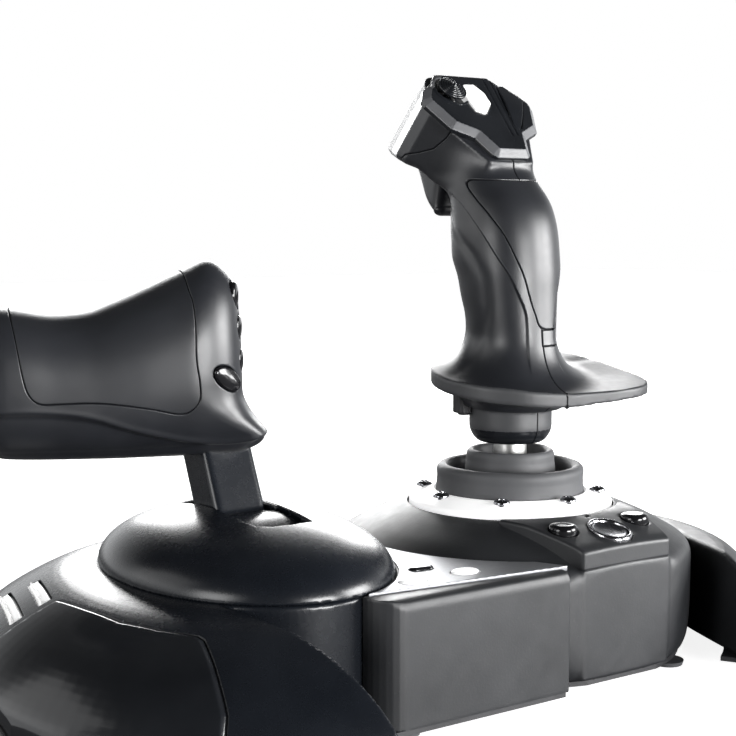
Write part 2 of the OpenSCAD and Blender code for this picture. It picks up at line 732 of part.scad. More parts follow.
module head_shell() color(body_color) difference() {
  union() {
    faceted() difference() {
      head_solid();
      head_solid(-2.6);
      neck_passage(15, 12, 205, 15, 18);
      translate([-8.5, 25, 200]) cube([17, 40, 24.5]);
    }
    // Lugs for the trigger pin
    for (s = [-1, 1]) translate([s * 10.2 - 1.3, 45.5, 216.2]) cube([2.6, 9, 12]);
  }
  translate(trigger_pivot) cyl_x(trigger_pin_radius + 0.02, -30, 30);
}

hat_center = [-14, -14.5];
hat_pivot_z = -2.4;
hat_pin_radius = 0.8;
module hex_plan(grow) translate([-1.6, -18.6]) offset(delta = grow) polygon([[-7.2, 4.6],
  [-3.2, 8.6], [2.6, 9], [5.8, 3.2], [5.6, -4], [-0.6, -10.6], [-5.4, -8.6]]);
module right_button_plan(grow) offset(delta = grow)
  polygon([[15.4, -9], [20, -7.4], [25.6, -18.8], [13.6, -38], [10, -38]]);
module at_hat(z) translate([hat_center[0], hat_center[1], z]) children();

module faceplate() color(dark_color) head_frame() difference() {
  union() {
    difference() {
      translate([0, 0, -5]) linear_extrude(5) faceplate_plan();
      translate([0, 0, -5.5]) linear_extrude(3.3) intersection() {
        faceplate_plan(-2.4);
        head_plan(-3.4);
      }
    }
    // Well of the hat switch, with two posts on a bridge for its cross
    at_hat(-5) tube(7.9, 9.2, 4.8);
    for (s = [-1, 1]) at_hat(-4.9) translate([s * 5.2 - 0.8, -2.2, 0]) cube([1.6, 4.4, 4.6]);
    at_hat(-5) linear_extrude(1.2) square([15, 4.4], center = true);
  }
  at_hat(-3.7) difference() {
    cylinder(r = 7.9, h = 6);
    for (s = [-1, 1]) translate([s * 5.2 - 0.8, -2.2, -2]) cube([1.6, 4.4, 3.4]);
  }
  at_hat(hat_pivot_z) cyl_x(hat_pin_radius + clearance, -6.6, 6.6);
  translate([0, 0, -8]) linear_extrude(12) {
    hex_plan(0.2);
    right_button_plan(0.2);
  }
}

module hat_cross() color("silver") head_frame() at_hat(hat_pivot_z) {
  cyl_x(hat_pin_radius, -5.9, 4.9);
  cyl_y(hat_pin_radius, -5.2, 5.2);
  cube(2.4, center = true);
}

module hat_cap() color(dark_color) head_frame() at_hat(hat_pivot_z) difference() {
  union() {
    for (s = [-1, 1]) translate([-1.7, s * 4.4 - 0.7, -1.3]) cube([3.4, 1.4, 5]);
    translate([0, 0, 3.2]) cylinder(r1 = 6.6, r2 = 5.6, h = 3.4);
    translate([0, 0, 6.5]) cylinder(r1 = 5.2, r2 = 3.8, h = 1.2);
  }
  cyl_y(hat_pin_radius + clearance, -9, 9);
}

module hex_button() color("white") head_frame() difference() {
  union() {
    translate([0, 0, -5.4]) linear_extrude(6.2) hex_plan(0);
    translate([0, 0, -6.6]) linear_extrude(1.3) intersection() {
      hex_plan(0.9);
      faceplate_plan(-5);
    }
  }
  at_hat(-12) cylinder(r = 8, h = 24);
}

module head_button_right() color(dark_color)
  head_frame() translate([0, 0, -4]) linear_extrude(4.6) right_button_plan(0);

// ---------- Throttle arm and handle ----------
shield_half_angle = 66;      // of the curved shield that closes the dome's slot
module throttle_arm() color(body_color) difference() {
  union() {
    translate(arm_pivot) cyl_x(11, -13, 13);
    arm_frame() {
      translate([0, 0, 4]) linear_extrude(98) rounded_square(arm_size[0], arm_size[1], arm_corner);
      translate([-13.5, 0, 0]) rotate([0, 90, 0]) rotate([0, 0, 180 - shield_half_angle])
        rotate_extrude(angle = 2 * shield_half_angle) translate([40.4, 0]) square([2, 27]);
    }
  }
  on_axle(axle_radius + clearance, -170, -100);
}

// Sections of the handle: [distance from the thumb end, bottom, top, half depth, squareness]
handle_sections = [[0.6, 101.5, 107.5, 15, 2.2], [3, 98.6, 112, 22, 2.3],
  [7, 96.8, 119, 26, 2.4], [10.6, 96.3, 130, 27.4, 2.5], [11.6, 96.2, 150, 28, 2.5],
  [13.4, 96.1, 167, 28.4, 2.5], [17, 96, 174.2, 28.8, 2.5], [23, 95.9, 176, 29, 2.5],
  [35, 95.6, 170.4, 29.4, 2.4], [49, 95.6, 164, 29.4, 2.4], [61, 95.6, 158.8, 29, 2.4],
  [73, 95.8, 154.6, 28.6, 2.4], [85, 96, 153.8, 28.6, 2.4], [98, 96.4, 155.8, 29, 2.4],
  [110, 97.2, 157.2, 28.8, 2.4], [118, 99.5, 154, 26.6, 2.3], [122.4, 104, 148, 22, 2.2],
  [124, 110, 142, 15, 2.1]];
function handle_ring(s, grow) =
  [for (p = superellipse(s[3] + grow, (s[2] - s[1]) / 2 + grow, s[4], handle_sides))
    [s[0], p[0] + handle_shift, p[1] + (s[1] + s[2]) / 2]];
module handle_loft(grow, first = 0, last = 17)
  handle_frame() loft([for (i = [first:last]) handle_ring(handle_sections[i], grow)]);

// Region of the pad on the pilot's side, outline in the handle frame's [x, z]
module handle_pad_region(grow)
  handle_frame() translate([0, 4, 0]) rotate([-90, 0, 0]) mirror([0, 1, 0])
    linear_extrude(60) offset(delta = grow) polygon([[33, 190], [29.5, 157], [29, 135],
      [26.6, 122], [30, 114.6], [36, 112], [60, 117], [82, 118], [91, 118.4], [95.4, 124],
      [98, 143], [101, 154], [103, 190]]);

// Thumb buttons from upper to lower, then the side button:
// [x, y, z in the handle frame, length, width]
thumb_buttons = [[14, 10.4, 160.7, 11, 8], [12.8, 11.2, 148.1, 9.6, 7.6],
  [12.1, 11, 135, 9, 7.4], [19.1, 22.2, 128.6, 11.5, 9.4]];
side_button = 3;
// Frame of one button: z points out of the handle, x points up
module thumb_place(i) {
  b = thumb_buttons[i];
  handle_frame() translate([b[0], b[1], b[2]])
    rotate([0, 0, i == side_button ? -55 : -22]) rotate([0, -90, 0]) children();
}
module thumb_plan(i, grow) rotate(i == side_button ? 90 : 0)
  oval(thumb_buttons[i][3] + 2 * grow, thumb_buttons[i][4] + 2 * grow);
module thumb_button(i) color(dark_color) thumb_place(i) {
  translate([0, 0, -6]) linear_extrude(7.2) thumb_plan(i, 0);
  translate([0, 0, -6.5]) linear_extrude(1) thumb_plan(i, -1);
}

rocker_x = 65;               // rocker's upright pin in the handle frame
rocker_y = -26.8;
rocker_mid_z = 131;
rocker_pin_radius = 1.8;

// Half of the handle on side -1 (away from the pilot) or 1 (towards the pilot)
module handle_half(side) faceted() difference() {
  intersection() {
    handle_loft(0);
    handle_frame() translate([-5, side > 0 ? 0.03 : -60.03, 80]) cube([140, 60, 110]);
  }
  difference() {
    handle_pad_region(0.1);
    handle_loft(-1.9);
  }
  handle_loft(-3.2, 3, 15);
  // Socket for the arm
  arm_frame() translate([0, 0, 40]) linear_extrude(80)
    rounded_square(arm_size[0] + 1.2, arm_size[1] + 1.2, arm_corner);
  for (i = [0:side_button])
    thumb_place(i) translate([0, 0, -8]) linear_extrude(20) thumb_plan(i, 0.25);
  handle_frame() translate([rocker_x, -35, rocker_mid_z]) cube([62, 13.4, 15], center = true);
}

module handle_front() color(body_color) difference() {
  union() {
    handle_half(-1);
    // Lugs above and below the rocker
    for (z = [124.3, 136.2])
      handle_frame() translate([rocker_x - 4, -30.6, z]) cube([8, 8, 1.6]);
  }
  handle_frame() {
    translate([rocker_x, -28, rocker_mid_z]) cube([8.4, 12, 10.2], center = true);
    translate([rocker_x, rocker_y, 100]) cylinder(r = rocker_pin_radius + clearance, h = 60);
  }
}
module handle_rear() color(body_color) handle_half(1);

module handle_pad() color(dark_color) faceted() difference() {
  intersection() {
    handle_loft(0);
    handle_pad_region(-0.15);
  }
  handle_loft(-1.8);
}

module thumb_button_upper() thumb_button(0);
module thumb_button_middle() thumb_button(1);
module thumb_button_lower() thumb_button(2);
module handle_side_button() thumb_button(side_button);

module rocker_paddle() color(dark_color)
  handle_frame() translate([rocker_x, rocker_y, 0]) union() {
    translate([-27, -8.2, 126.2]) cube([54, 3.4, 9.6]);
    translate([-3.4, -6, 126.2]) cube([6.8, 8.6, 9.6]);
    translate([0, 0, 124.2]) cylinder(r = rocker_pin_radius, h = 13.6);
  }

base_shell();
bottom_plates();
nose_cover();
boot_ring();
ring_screws();
boot_outer();
ballast_plate();
rubber_feet();
bottom_screws();
gimbal_frame();
circuit_boards();
status_lens();
guide_ring();
usb_cable();
cable_grommet();
pedal_port();
link_housing();
link_panel();
throttle_base_shell();
throttle_dome();
front_plate();
slot_inlays();
throttle_bracket();
throttle_axle();
position_sensors();
centring_spring();
gimbal_ring();
stick_shaft();
boot_inner();
grip_left();
grip_right();
palm_pad();
head_shell();
faceplate();
twist_bush();
grip_screws();
trigger_pin();
trigger();
hat_cross();
hat_cap();
hex_button();
head_button_right();
twist_lock();
menu_button();
view_button();
guide_button();
mode_button();
oval_button_left();
oval_button_right();
tension_dial();
throttle_arm();
handle_front();
handle_rear();
handle_pad();
thumb_button_upper();
thumb_button_middle();
thumb_button_lower();
handle_side_button();
rocker_paddle();
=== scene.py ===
"""Visual model of the flight joystick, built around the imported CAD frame. All shapes are worked out in code."""

import json
import math

import bmesh
import bpy
import numpy as np
from mathutils import Matrix, Vector


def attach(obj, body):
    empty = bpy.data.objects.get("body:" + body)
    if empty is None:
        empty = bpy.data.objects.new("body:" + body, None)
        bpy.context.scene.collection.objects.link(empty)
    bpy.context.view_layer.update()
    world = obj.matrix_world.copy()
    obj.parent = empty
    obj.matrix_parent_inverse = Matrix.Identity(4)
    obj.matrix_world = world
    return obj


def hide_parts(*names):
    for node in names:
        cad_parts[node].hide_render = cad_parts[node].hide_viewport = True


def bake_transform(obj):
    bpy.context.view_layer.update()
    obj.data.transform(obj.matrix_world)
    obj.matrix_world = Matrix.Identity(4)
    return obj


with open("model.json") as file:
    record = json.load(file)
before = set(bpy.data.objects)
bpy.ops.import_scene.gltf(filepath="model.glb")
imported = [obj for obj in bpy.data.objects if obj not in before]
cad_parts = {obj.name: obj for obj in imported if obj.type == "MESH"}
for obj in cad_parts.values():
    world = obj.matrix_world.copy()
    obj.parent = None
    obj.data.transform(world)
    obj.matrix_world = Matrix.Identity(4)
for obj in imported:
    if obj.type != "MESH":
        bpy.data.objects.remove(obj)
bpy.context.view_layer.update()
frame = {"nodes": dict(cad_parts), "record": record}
# ---------------------------------------------------------------- shape library (millimetres)
def smin(a, b, k):
    h = np.maximum(k - np.abs(a - b), 0.0) / k
    return np.minimum(a, b) - h * h * k * 0.25


def smax(a, b, k):
    return -smin(-a, -b, k)


def sd_poly(x, y, poly):
    """Signed distance to a closed polygon, negative inside."""
    d = np.full(np.shape(x), 1e12)
    inside = np.zeros(np.shape(x), bool)
    n = len(poly)
    for i in range(n):
        ax, ay = poly[i]
        bx, by = poly[(i + 1) % n]
        ex, ey = bx - ax, by - ay
        wx, wy = x - ax, y - ay
        t = np.clip((wx * ex + wy * ey) / max(ex * ex + ey * ey, 1e-12), 0, 1)
        d = np.minimum(d, (wx - ex * t) ** 2 + (wy - ey * t) ** 2)
        if ay != by:
            inside ^= ((ay <= y) != (by <= y)) & (wx < wy * (ex / ey))
    return np.where(inside, -1.0, 1.0) * np.sqrt(d)


def d_line(x, y, pts):
    """Distance to an open polyline."""
    d = np.full(np.shape(x), 1e12)
    for (ax, ay), (bx, by) in zip(pts[:-1], pts[1:]):
        ex, ey = bx - ax, by - ay
        t = np.clip(((x - ax) * ex + (y - ay) * ey) / (ex * ex + ey * ey + 1e-12), 0, 1)
        d = np.minimum(d, (x - ax - ex * t) ** 2 + (y - ay - ey * t) ** 2)
    return np.sqrt(d)


def inset(poly, r):
    """The polygon with every edge moved inwards by r."""
    p = np.asarray(poly, float)
    if np.sum(p[:, 0] * np.roll(p[:, 1], -1) - np.roll(p[:, 0], -1) * p[:, 1]) < 0:
        p = p[::-1]
    e = np.roll(p, -1, 0) - p
    e /= np.linalg.norm(e, axis=1)[:, None]
    nrm = np.stack([-e[:, 1], e[:, 0]], 1)
    prev_e, prev_n = np.roll(e, 1, 0), np.roll(nrm, 1, 0)
    out = []
    for i in range(len(p)):
        c = prev_e[i, 0] * e[i, 1] - prev_e[i, 1] * e[i, 0]
        if abs(c) < 1e-3:
            out.append(p[i] + nrm[i] * r)
            continue
        a, b = p[i] + prev_n[i] * r, p[i] + nrm[i] * r
        t = ((b[0] - a[0]) * e[i, 1] - (b[1] - a[1]) * e[i, 0]) / c
        out.append(a + prev_e[i] * t)
    return np.array(out)


def rpoly(x, y, poly, r):
    return sd_poly(x, y, inset(poly, r)) - r


def ext(d2, z, z0, z1, r=0.0):
    """Extrusion of a plane distance between z0 and z1, with its edges rounded by r."""
    a, b = d2 + r, np.abs(z - (z0 + z1) / 2) - (z1 - z0) / 2 + r
    return np.minimum(np.maximum(a, b), 0) + np.hypot(np.maximum(a, 0), np.maximum(b, 0)) - r


def box3(P, c, h, r):
    q = np.abs(P - np.asarray(c, float)) - (np.asarray(h, float) - r)
    return np.linalg.norm(np.maximum(q, 0), axis=-1) + np.minimum(q.max(-1), 0) - r


def curve(pts, soft=1.5, step=0.2):
    """Smooth function through (t, value) pairs: a monotone cubic, then lightly averaged."""
    t, v = np.array(pts, float).T
    h, d = np.diff(t), np.diff(v) / np.diff(t)
    m = np.zeros(len(t))
    m[0], m[-1] = d[0], d[-1]
    for i in range(1, len(t) - 1):
        if d[i - 1] * d[i] > 0:
            w1, w2 = 2 * h[i] + h[i - 1], h[i] + 2 * h[i - 1]
            m[i] = (w1 + w2) / (w1 / d[i - 1] + w2 / d[i])
    T = np.arange(t[0], t[-1] + step, step)
    i = np.clip(np.searchsorted(t, T, side="right") - 1, 0, len(h) - 1)
    u = (T - t[i]) / h[i]
    V = ((1 + 2 * u) * (1 - u) ** 2) * v[i] + (u * (1 - u) ** 2) * h[i] * m[i] + (u * u * (3 - 2 * u)) * v[i + 1] + (u * u * (u - 1)) * h[i] * m[i + 1]
    n = int(soft / step)
    if n > 1:
        for _ in range(2):
            pad = np.concatenate([2 * V[0] - V[n:0:-1], V, 2 * V[-1] - V[-2 : -n - 2 : -1]])
            c = np.cumsum(np.concatenate([[0], pad]))
            V = (c[2 * n + 1 :] - c[: -2 * n - 1]) / (2 * n + 1)
            V = V[: len(T)]
    return lambda q: np.interp(q, T[: len(V)], V)


def spline(pts, n=8, closed=False):
    """Catmull-Rom points through a list of plane points."""
    p = np.array(pts, float)
    out = []
    N = len(p)
    for i in range(N if closed else N - 1):
        if closed:
            a, b, c, d = p[(i - 1) % N], p[i], p[(i + 1) % N], p[(i + 2) % N]
        else:
            b, c = p[i], p[i + 1]
            a = p[i - 1] if i else 2 * b - c
            d = p[i + 2] if i + 2 < N else 2 * c - b
        for k in range(n):
            t = k / n
            out.append(0.5 * (2 * b + (c - a) * t + (2 * a - 5 * b + 4 * c - d) * t * t + (3 * b - a - 3 * c + d) * t ** 3))
    if not closed:
        out.append(p[-1])
    return np.array(out)


class Grid2:
    """A plane function sampled once on a fine grid and read back by linear interpolation."""

    def __init__(self, fn, x0, x1, y0, y1, h=0.5):
        self.o, self.h = np.array([x0, y0], float), h
        gx, gy = np.arange(x0, x1 + h, h), np.arange(y0, y1 + h, h)
        X, Y = np.meshgrid(gx, gy, indexing="ij")
        self.v = fn(X.ravel(), Y.ravel()).reshape(X.shape)

    def __call__(self, x, y):
        a = np.clip((x - self.o[0]) / self.h, 0, self.v.shape[0] - 1.001)
        b = np.clip((y - self.o[1]) / self.h, 0, self.v.shape[1] - 1.001)
        i, j = a.astype(int), b.astype(int)
        u, w = a - i, b - j
        v = self.v
        return (v[i, j] * (1 - u) + v[i + 1, j] * u) * (1 - w) + (v[i, j + 1] * (1 - u) + v[i + 1, j + 1] * u) * w


def slope(f, P, e=0.04):
    g = np.empty(P.shape)
    for a in range(3):
        q = np.zeros(3)
        q[a] = e
        g[..., a] = (f(P + q) - f(P - q)) / (2 * e)
    return g


def even(f, e=0.05):
    """Turns an implicit function into a close estimate of distance."""

    def g(P):
        v = f(P)
        s = np.zeros(v.shape)
        for a in range(3):
            q = np.zeros(3)
            q[a] = e
            s += ((f(P + q) - v) / e) ** 2
        return v / np.sqrt(s + 1e-9)

    return g


def sstep(t):
    t = np.clip(t, 0, 1)
    return t * t * (3 - 2 * t)


def nets(f, lo, hi, h, B=8):
    """Surface nets of f = 0 on a grid of step h, worked out only near the surface. Returns vertices and quads that face outwards."""
    lo, hi = np.array(lo, float) - 2.3 * h, np.array(hi, float) + 2.3 * h
    nb = np.ceil((hi - lo) / (h * B)).astype(int)
    c = [lo[a] + (np.arange(nb[a]) + 0.5) * h * B for a in range(3)]
    C = np.stack(np.meshgrid(*c, indexing="ij"), -1).reshape(-1, 3)
    v = f(C)
    keep = np.abs(v) < B * h * 1.25
    D = np.where(v < 0, -9.0, 9.0).reshape(nb)
    for a in range(3):
        D = np.repeat(D, B, axis=a)
    D = np.pad(D, ((0, 1),) * 3, mode="edge")
    o = np.arange(B + 1)
    O = np.stack(np.meshgrid(o, o, o, indexing="ij"), -1).reshape(-1, 3)
    ids = np.argwhere(keep.reshape(nb)) * B
    for chunk in np.array_split(ids, max(1, len(ids) // 500)):
        G = (chunk[:, None] + O[None]).reshape(-1, 3)
        D[G[:, 0], G[:, 1], G[:, 2]] = f(lo + G * h)
    S = D < 0
    shape = np.array(D.shape)
    cells, pos, quads = [], [], []
    for a in range(3):
        b, c2 = (a + 1) % 3, (a + 2) % 3
        s0 = [slice(None)] * 3
        s1 = [slice(None)] * 3
        s0[a], s1[a] = slice(0, -1), slice(1, None)
        cross = S[tuple(s0)] != S[tuple(s1)]
        I = np.argwhere(cross)
        I = I[(I[:, b] > 0) & (I[:, c2] > 0) & (I[:, b] < shape[b] - 1) & (I[:, c2] < shape[c2] - 1)]
        J = I.copy()
        J[:, a] += 1
        d0, d1 = D[I[:, 0], I[:, 1], I[:, 2]], D[J[:, 0], J[:, 1], J[:, 2]]
        p = I.astype(float)
        p[:, a] += d0 / (d0 - d1)
        q = np.repeat(I[:, None], 4, 1)
        q[:, 0, b] -= 1
        q[:, 0, c2] -= 1
        q[:, 1, c2] -= 1
        q[:, 3, b] -= 1
        lin = (q[..., 0] * shape[1] + q[..., 1]) * shape[2] + q[..., 2]
        flip = d0 > 0
        lin2 = lin.copy()
        lin2[flip] = lin[flip][:, ::-1]
        quads.append(lin2)
        cells.append(lin.reshape(-1))
        pos.append(np.repeat(p, 4, 0))
    cells, pos, quads = np.concatenate(cells), np.concatenate(pos), np.concatenate(quads)
    u, inv = np.unique(cells, return_inverse=True)
    cnt = np.bincount(inv, minlength=len(u))
    V = np.stack([np.bincount(inv, pos[:, a], len(u)) / cnt for a in range(3)], 1)
    return lo + V * h, np.searchsorted(u, quads)


def project(f, V, n=3, cap=0.8):
    """Moves points onto f = 0 along its slope."""
    V = V.copy()
    for _ in range(n):
        d, g = f(V), slope(f, V)
        s = d[:, None] * g / (np.sum(g * g, 1)[:, None] + 1e-9)
        L = np.linalg.norm(s, axis=1)[:, None]
        V -= s * np.minimum(1, cap / (L + 1e-12))
    return V


def tris(Q):
    return np.concatenate([Q[:, [0, 1, 2]], Q[:, [0, 2, 3]]])


def refine(V, T, near, size):
    """Splits the edges longer than size where near(points) is true. Triangles only."""
    for _ in range(4):
        E = np.sort(np.concatenate([T[:, [0, 1]], T[:, [1, 2]], T[:, [2, 0]]]), 1)
        U, inv = np.unique(E, axis=0, return_inverse=True)
        inv = inv.reshape(3, -1).T
        A, B2 = V[U[:, 0]], V[U[:, 1]]
        mid = (A + B2) / 2
        mark = (np.linalg.norm(A - B2, axis=1) > size) & near(mid)
        if not mark.any():
            break
        new = np.full(len(U), -1)
        new[mark] = len(V) + np.arange(mark.sum())
        V = np.concatenate([V, mid[mark]])
        M = new[inv]
        k = (M >= 0).sum(1)
        out = [T[k == 0]]
        for r in range(3):
            a, b, c = r, (r + 1) % 3, (r + 2) % 3
            s = (k == 1) & (M[:, a] >= 0)
            t, m = T[s], M[s]
            out += [np.stack([t[:, a], m[:, a], t[:, c]], 1), np.stack([m[:, a], t[:, b], t[:, c]], 1)]
            s = (k == 2) & (M[:, a] < 0)
            t, m = T[s], M[s]
            out += [np.stack([m[:, b], t[:, c], m[:, c]], 1), np.stack([t[:, a], t[:, b], m[:, b]], 1), np.stack([t[:, a], m[:, b], m[:, c]], 1)]
        s = k == 3
        t, m = T[s], M[s]
        out += [np.stack([t[:, 0], m[:, 0], m[:, 2]], 1), np.stack([m[:, 0], t[:, 1], m[:, 1]], 1), np.stack([m[:, 2], m[:, 1], t[:, 2]], 1), m]
        T = np.concatenate(out)
    return V, T


def cut(V, T, s):
    """Cuts a triangle mesh where the value s of its vertices changes sign. Returns (V, T where s < 0, T where s > 0), sharing V."""
    s = np.where(np.abs(s) < 1e-6, 1e-6, s)
    neg = s < 0
    E = np.sort(np.concatenate([T[:, [0, 1]], T[:, [1, 2]], T[:, [2, 0]]]), 1)
    U, inv = np.unique(E, axis=0, return_inverse=True)
    inv = inv.reshape(3, -1).T
    x = neg[U[:, 0]] != neg[U[:, 1]]
    new = np.full(len(U), -1)
    new[x] = len(V) + np.arange(x.sum())
    a, b = U[x, 0], U[x, 1]
    t = (s[a] / (s[a] - s[b]))[:, None]
    V2 = np.concatenate([V, V[a] * (1 - t) + V[b] * t])
    M = new[inv]
    k = (M >= 0).sum(1)
    side = neg[T]
    lowT, highT = [T[(k == 0) & side[:, 0]]], [T[(k == 0) & ~side[:, 0]]]
    for r in range(3):
        i, j, l = r, (r + 1) % 3, (r + 2) % 3
        sel = (k == 2) & (M[:, j] < 0)
        tt, m, sd = T[sel], M[sel], side[sel]
        # vertex i is alone on its side: edges ij and li are cut
        lone = np.stack([tt[:, i], m[:, i], m[:, l]], 1)
        q1 = np.stack([m[:, i], tt[:, j], tt[:, l]], 1)
        q2 = np.stack([m[:, i], tt[:, l], m[:, l]], 1)
        g = sd[:, i]
        lowT += [lone[g], q1[~g], q2[~g]]
        highT += [lone[~g], q1[g], q2[g]]
    return V2, np.concatenate(lowT), np.concatenate(highT)


def compact(V, T):
    u, inv = np.unique(T, return_inverse=True)
    return V[u], inv.reshape(T.shape)


def vnormals(V, T):
    n = np.cross(V[T[:, 1]] - V[T[:, 0]], V[T[:, 2]] - V[T[:, 0]])
    N = np.stack([np.bincount(T.ravel(), np.repeat(n[:, a], 3), len(V)) for a in range(3)], 1)
    return N / (np.linalg.norm(N, axis=1)[:, None] + 1e-12)


def thicken(V, T, t):
    """Closes an open sheet into a solid of thickness t on its inner side."""
    V, T = compact(V, T)
    N = vnormals(V, T)
    n = len(V)
    E = np.concatenate([T[:, [0, 1]], T[:, [1, 2]], T[:, [2, 0]]])
    key = E[:, 0].astype(np.int64) * n + E[:, 1]
    rev = E[:, 1].astype(np.int64) * n + E[:, 0]
    rim = E[~np.isin(key, rev)]
    W = np.concatenate([V, V - N * t])
    side = np.concatenate([np.stack([rim[:, 1], rim[:, 0], rim[:, 0] + n], 1), np.stack([rim[:, 1], rim[:, 0] + n, rim[:, 1] + n], 1)])
    return W, np.concatenate([T, T[:, ::-1] + n, side])


# ---------------------------------------------------------------- frames
HT = math.radians(44.27)
HC, HS = math.cos(HT), math.sin(HT)
YAW = math.radians(160)
LC, LS = math.cos(YAW), math.sin(YAW)


def head_uvn(P):
    y, z = P[..., 1] - 37.2, P[..., 2] - 258.7
    return P[..., 0], y * HC + z * HS, -y * HS + z * HC


def head_xyz(u, t, n):
    return np.stack(np.broadcast_arrays(u, 37.2 + t * HC - n * HS, 258.7 + t * HS + n * HC), -1)


def hnd_lmz(P):
    x, y = P[..., 0] + 118, P[..., 1] - 15
    return x * LC + y * LS, -x * LS + y * LC, P[..., 2]


def hnd_xyz(l, m, z):
    return np.stack(np.broadcast_arrays(-118 + l * LC - m * LS, 15 + l * LS + m * LC, z), -1)


# ---------------------------------------------------------------- grip
GRIP = np.array([[106, 0, 19.5, 19.5], [112.2, 0, 20, 20.5], [122, 0, 20.6, 22.4], [130, 0.2, 19.8, 22.0], [139, 0.4, 18.9, 21.1], [148, 0.5, 19.5, 20.7], [157, 2, 20.5, 22],
    [166, 2.9, 21.3, 23], [175, 5.4, 22, 25.0], [184, 5.9, 22, 24.6], [192.6, 7.3, 21.3, 24.2], [199, 9.2, 20.8, 23.0], [206, 13.4, 20, 20.6], [216, 20, 19, 17], [228, 28, 17.5, 14.5], [240, 36, 16, 12.5], [250, 41, 14, 10]])
g_yc, g_a, g_b = (curve(GRIP[:, [0, k]], 3.0) for k in (1, 2, 3))
REST = [[0, 50], [20, 46], [40, 41], [65, 37.5], [90, 36], [120, 35.5], [150, 35.5], [180, 34.5], [210, 34], [240, 35], [270, 37.4], [290, 42], [305, 50], [318, 58.5], [328, 61.8], [338, 58.8], [350, 53]]
rest_poly = spline([(r * math.cos(math.radians(a)), r * math.sin(math.radians(a))) for a, r in REST], 6, True)
HEAD_W = [[14.5, 0], [20, 6.6], [27, 12], [31, 18.6], [31, 22.5], [24.6, 37.5], [14.6, 43], [10.6, 53.6], [8.6, 55.4]]
plate_poly = np.array([(w, -v) for w, v in HEAD_W] + [(-w, -v) for w, v in HEAD_W[::-1]])
HEAD_PLAN = np.array([[-10, 8], [10, 8], [17, 2], [21, -6], [27.5, -17], [27.5, -24], [22, -37], [18.4, -44], [12, -56], [-12, -56], [-18.4, -44], [-22, -37], [-27.5, -24], [-27.5, -17], [-21, -6], [-17, 2]])
HEAD_SIDE = np.array([[10, 206], [-6.5, 219.5], [36.5, 259.5], [52, 250.8], [66, 238.5], [74, 230.5], [75.6, 227.6], [73, 223.6], [66, 221.2], [52, 218.6], [40, 214], [30, 206]])


def grip_loft(P):
    z = P[..., 2]
    a, b, yc = g_a(z), g_b(z), g_yc(z)
    q = (np.abs(P[..., 0] / a) ** 2.2 + np.abs((P[..., 1] - yc) / b) ** 2.2) ** (1 / 2.2)
    return (q - 1) * 20


grip_loft_d = even(grip_loft)


def head_field(P):
    u, t, n = head_uvn(P)
    side = rpoly(P[..., 1], P[..., 2], HEAD_SIDE, 2.5)
    plan = rpoly(u, t, HEAD_PLAN, 2.0)
    return smax(smax(side, plan, 4.0), n + 5.0, 1.2)


rest_grid = []


REST_LIFT = curve([[-60, 2.4], [-40, 2.5], [-20, 3.0], [-5, 2.9], [10, 1.5], [25, 0], [40, -0.8], [55, -1.8], [62, -2.6], [80, -3.4]], 2.0)


def rest_field(P):
    if not rest_grid:
        rest_grid.append(Grid2(lambda a, b: sd_poly(a, b, rest_poly), -75, 90, -85, 75, 0.5))
    x, y, z = P[..., 0], P[..., 1], P[..., 2]
    s, w = 0.825 * x - 0.565 * y, 0.5624 * x + 0.8208 * y
    lift = REST_LIFT(s) + 1.7 * sstep(w / 45) * (1 - sstep((s - 38) / 22)) * sstep((s + 12) / 20)
    return ext(rest_grid[0](x, y), z - (118.8 + 0.094 * x + 0.148 * y + lift), -2.8 + 0.9 * sstep((s - 20) / 36), 2.8 - 0.3 * sstep((s - 20) / 36), 0.45)


def grip_field(P):
    x, y, z = P[..., 0], P[..., 1], P[..., 2]
    body = smax(grip_loft_d(P), 110 - z, 2.0)
    body = smax(body, z - 246, 4.0)
    d = smin(body, head_field(P), 7.0)
    d = smin(d, rest_field(P), 19.0)
    low = ext(np.hypot(x, y) - 18.5, z, 92, 119, 0.4)
    low = smax(low, (np.hypot(x, y) - 14.7) * 0.80 - (z - 92) * 0.60, 2.0)
    return smin(d, low, 1.2)


# ---------------------------------------------------------------- throttle handle
HND = np.array([[-4, 96.8, 174.4, 28.4], [8, 96.4, 174.6, 28.4], [17, 96, 174.6, 28.8], [23, 95.9, 175.4, 29], [35, 95.6, 170.4, 29.4], [49, 95.6, 164, 29.4], [61, 95.6, 158.8, 29],
    [73, 95.8, 154.6, 28.6], [85, 96, 153.8, 28.6], [98, 96.4, 155.8, 29], [110, 97.2, 157.2, 28.8], [118, 98.5, 156, 28], [130, 99.5, 155, 27.6]])
h_lo, h_hi, h_m = (curve(HND[:, [0, k]], 3.0) for k in (1, 2, 3))
# thumb face: distance along the handle against height
THUMB = curve([[86, 15], [92, 12.5], [96.5, 6.2], [100, 2.2], [103, 0.6], [106, 0.9], [110, 4.0], [115, 7.6], [122, 10.2], [134, 10.4], [147, 11.0], [160, 12.0], [168, 13.0], [180, 14.5]], 1.2)


def handle_loft(P):
    l, m, z = hnd_lmz(P)
    lo, hi, w = h_lo(l), h_hi(l), h_m(l)
    q = (np.abs((z - (lo + hi) / 2) / ((hi - lo) / 2)) ** 2.45 + np.abs((m + 2) / w) ** 2.45) ** (1 / 2.45)
    return (q - 1) * 28


handle_loft_d = even(handle_loft)


def thumb_face(P):
    l, m, z = hnd_lmz(P)
    return THUMB(z) + 0.010 * (m + 2) ** 2 - l


thumb_face_d = even(thumb_face)


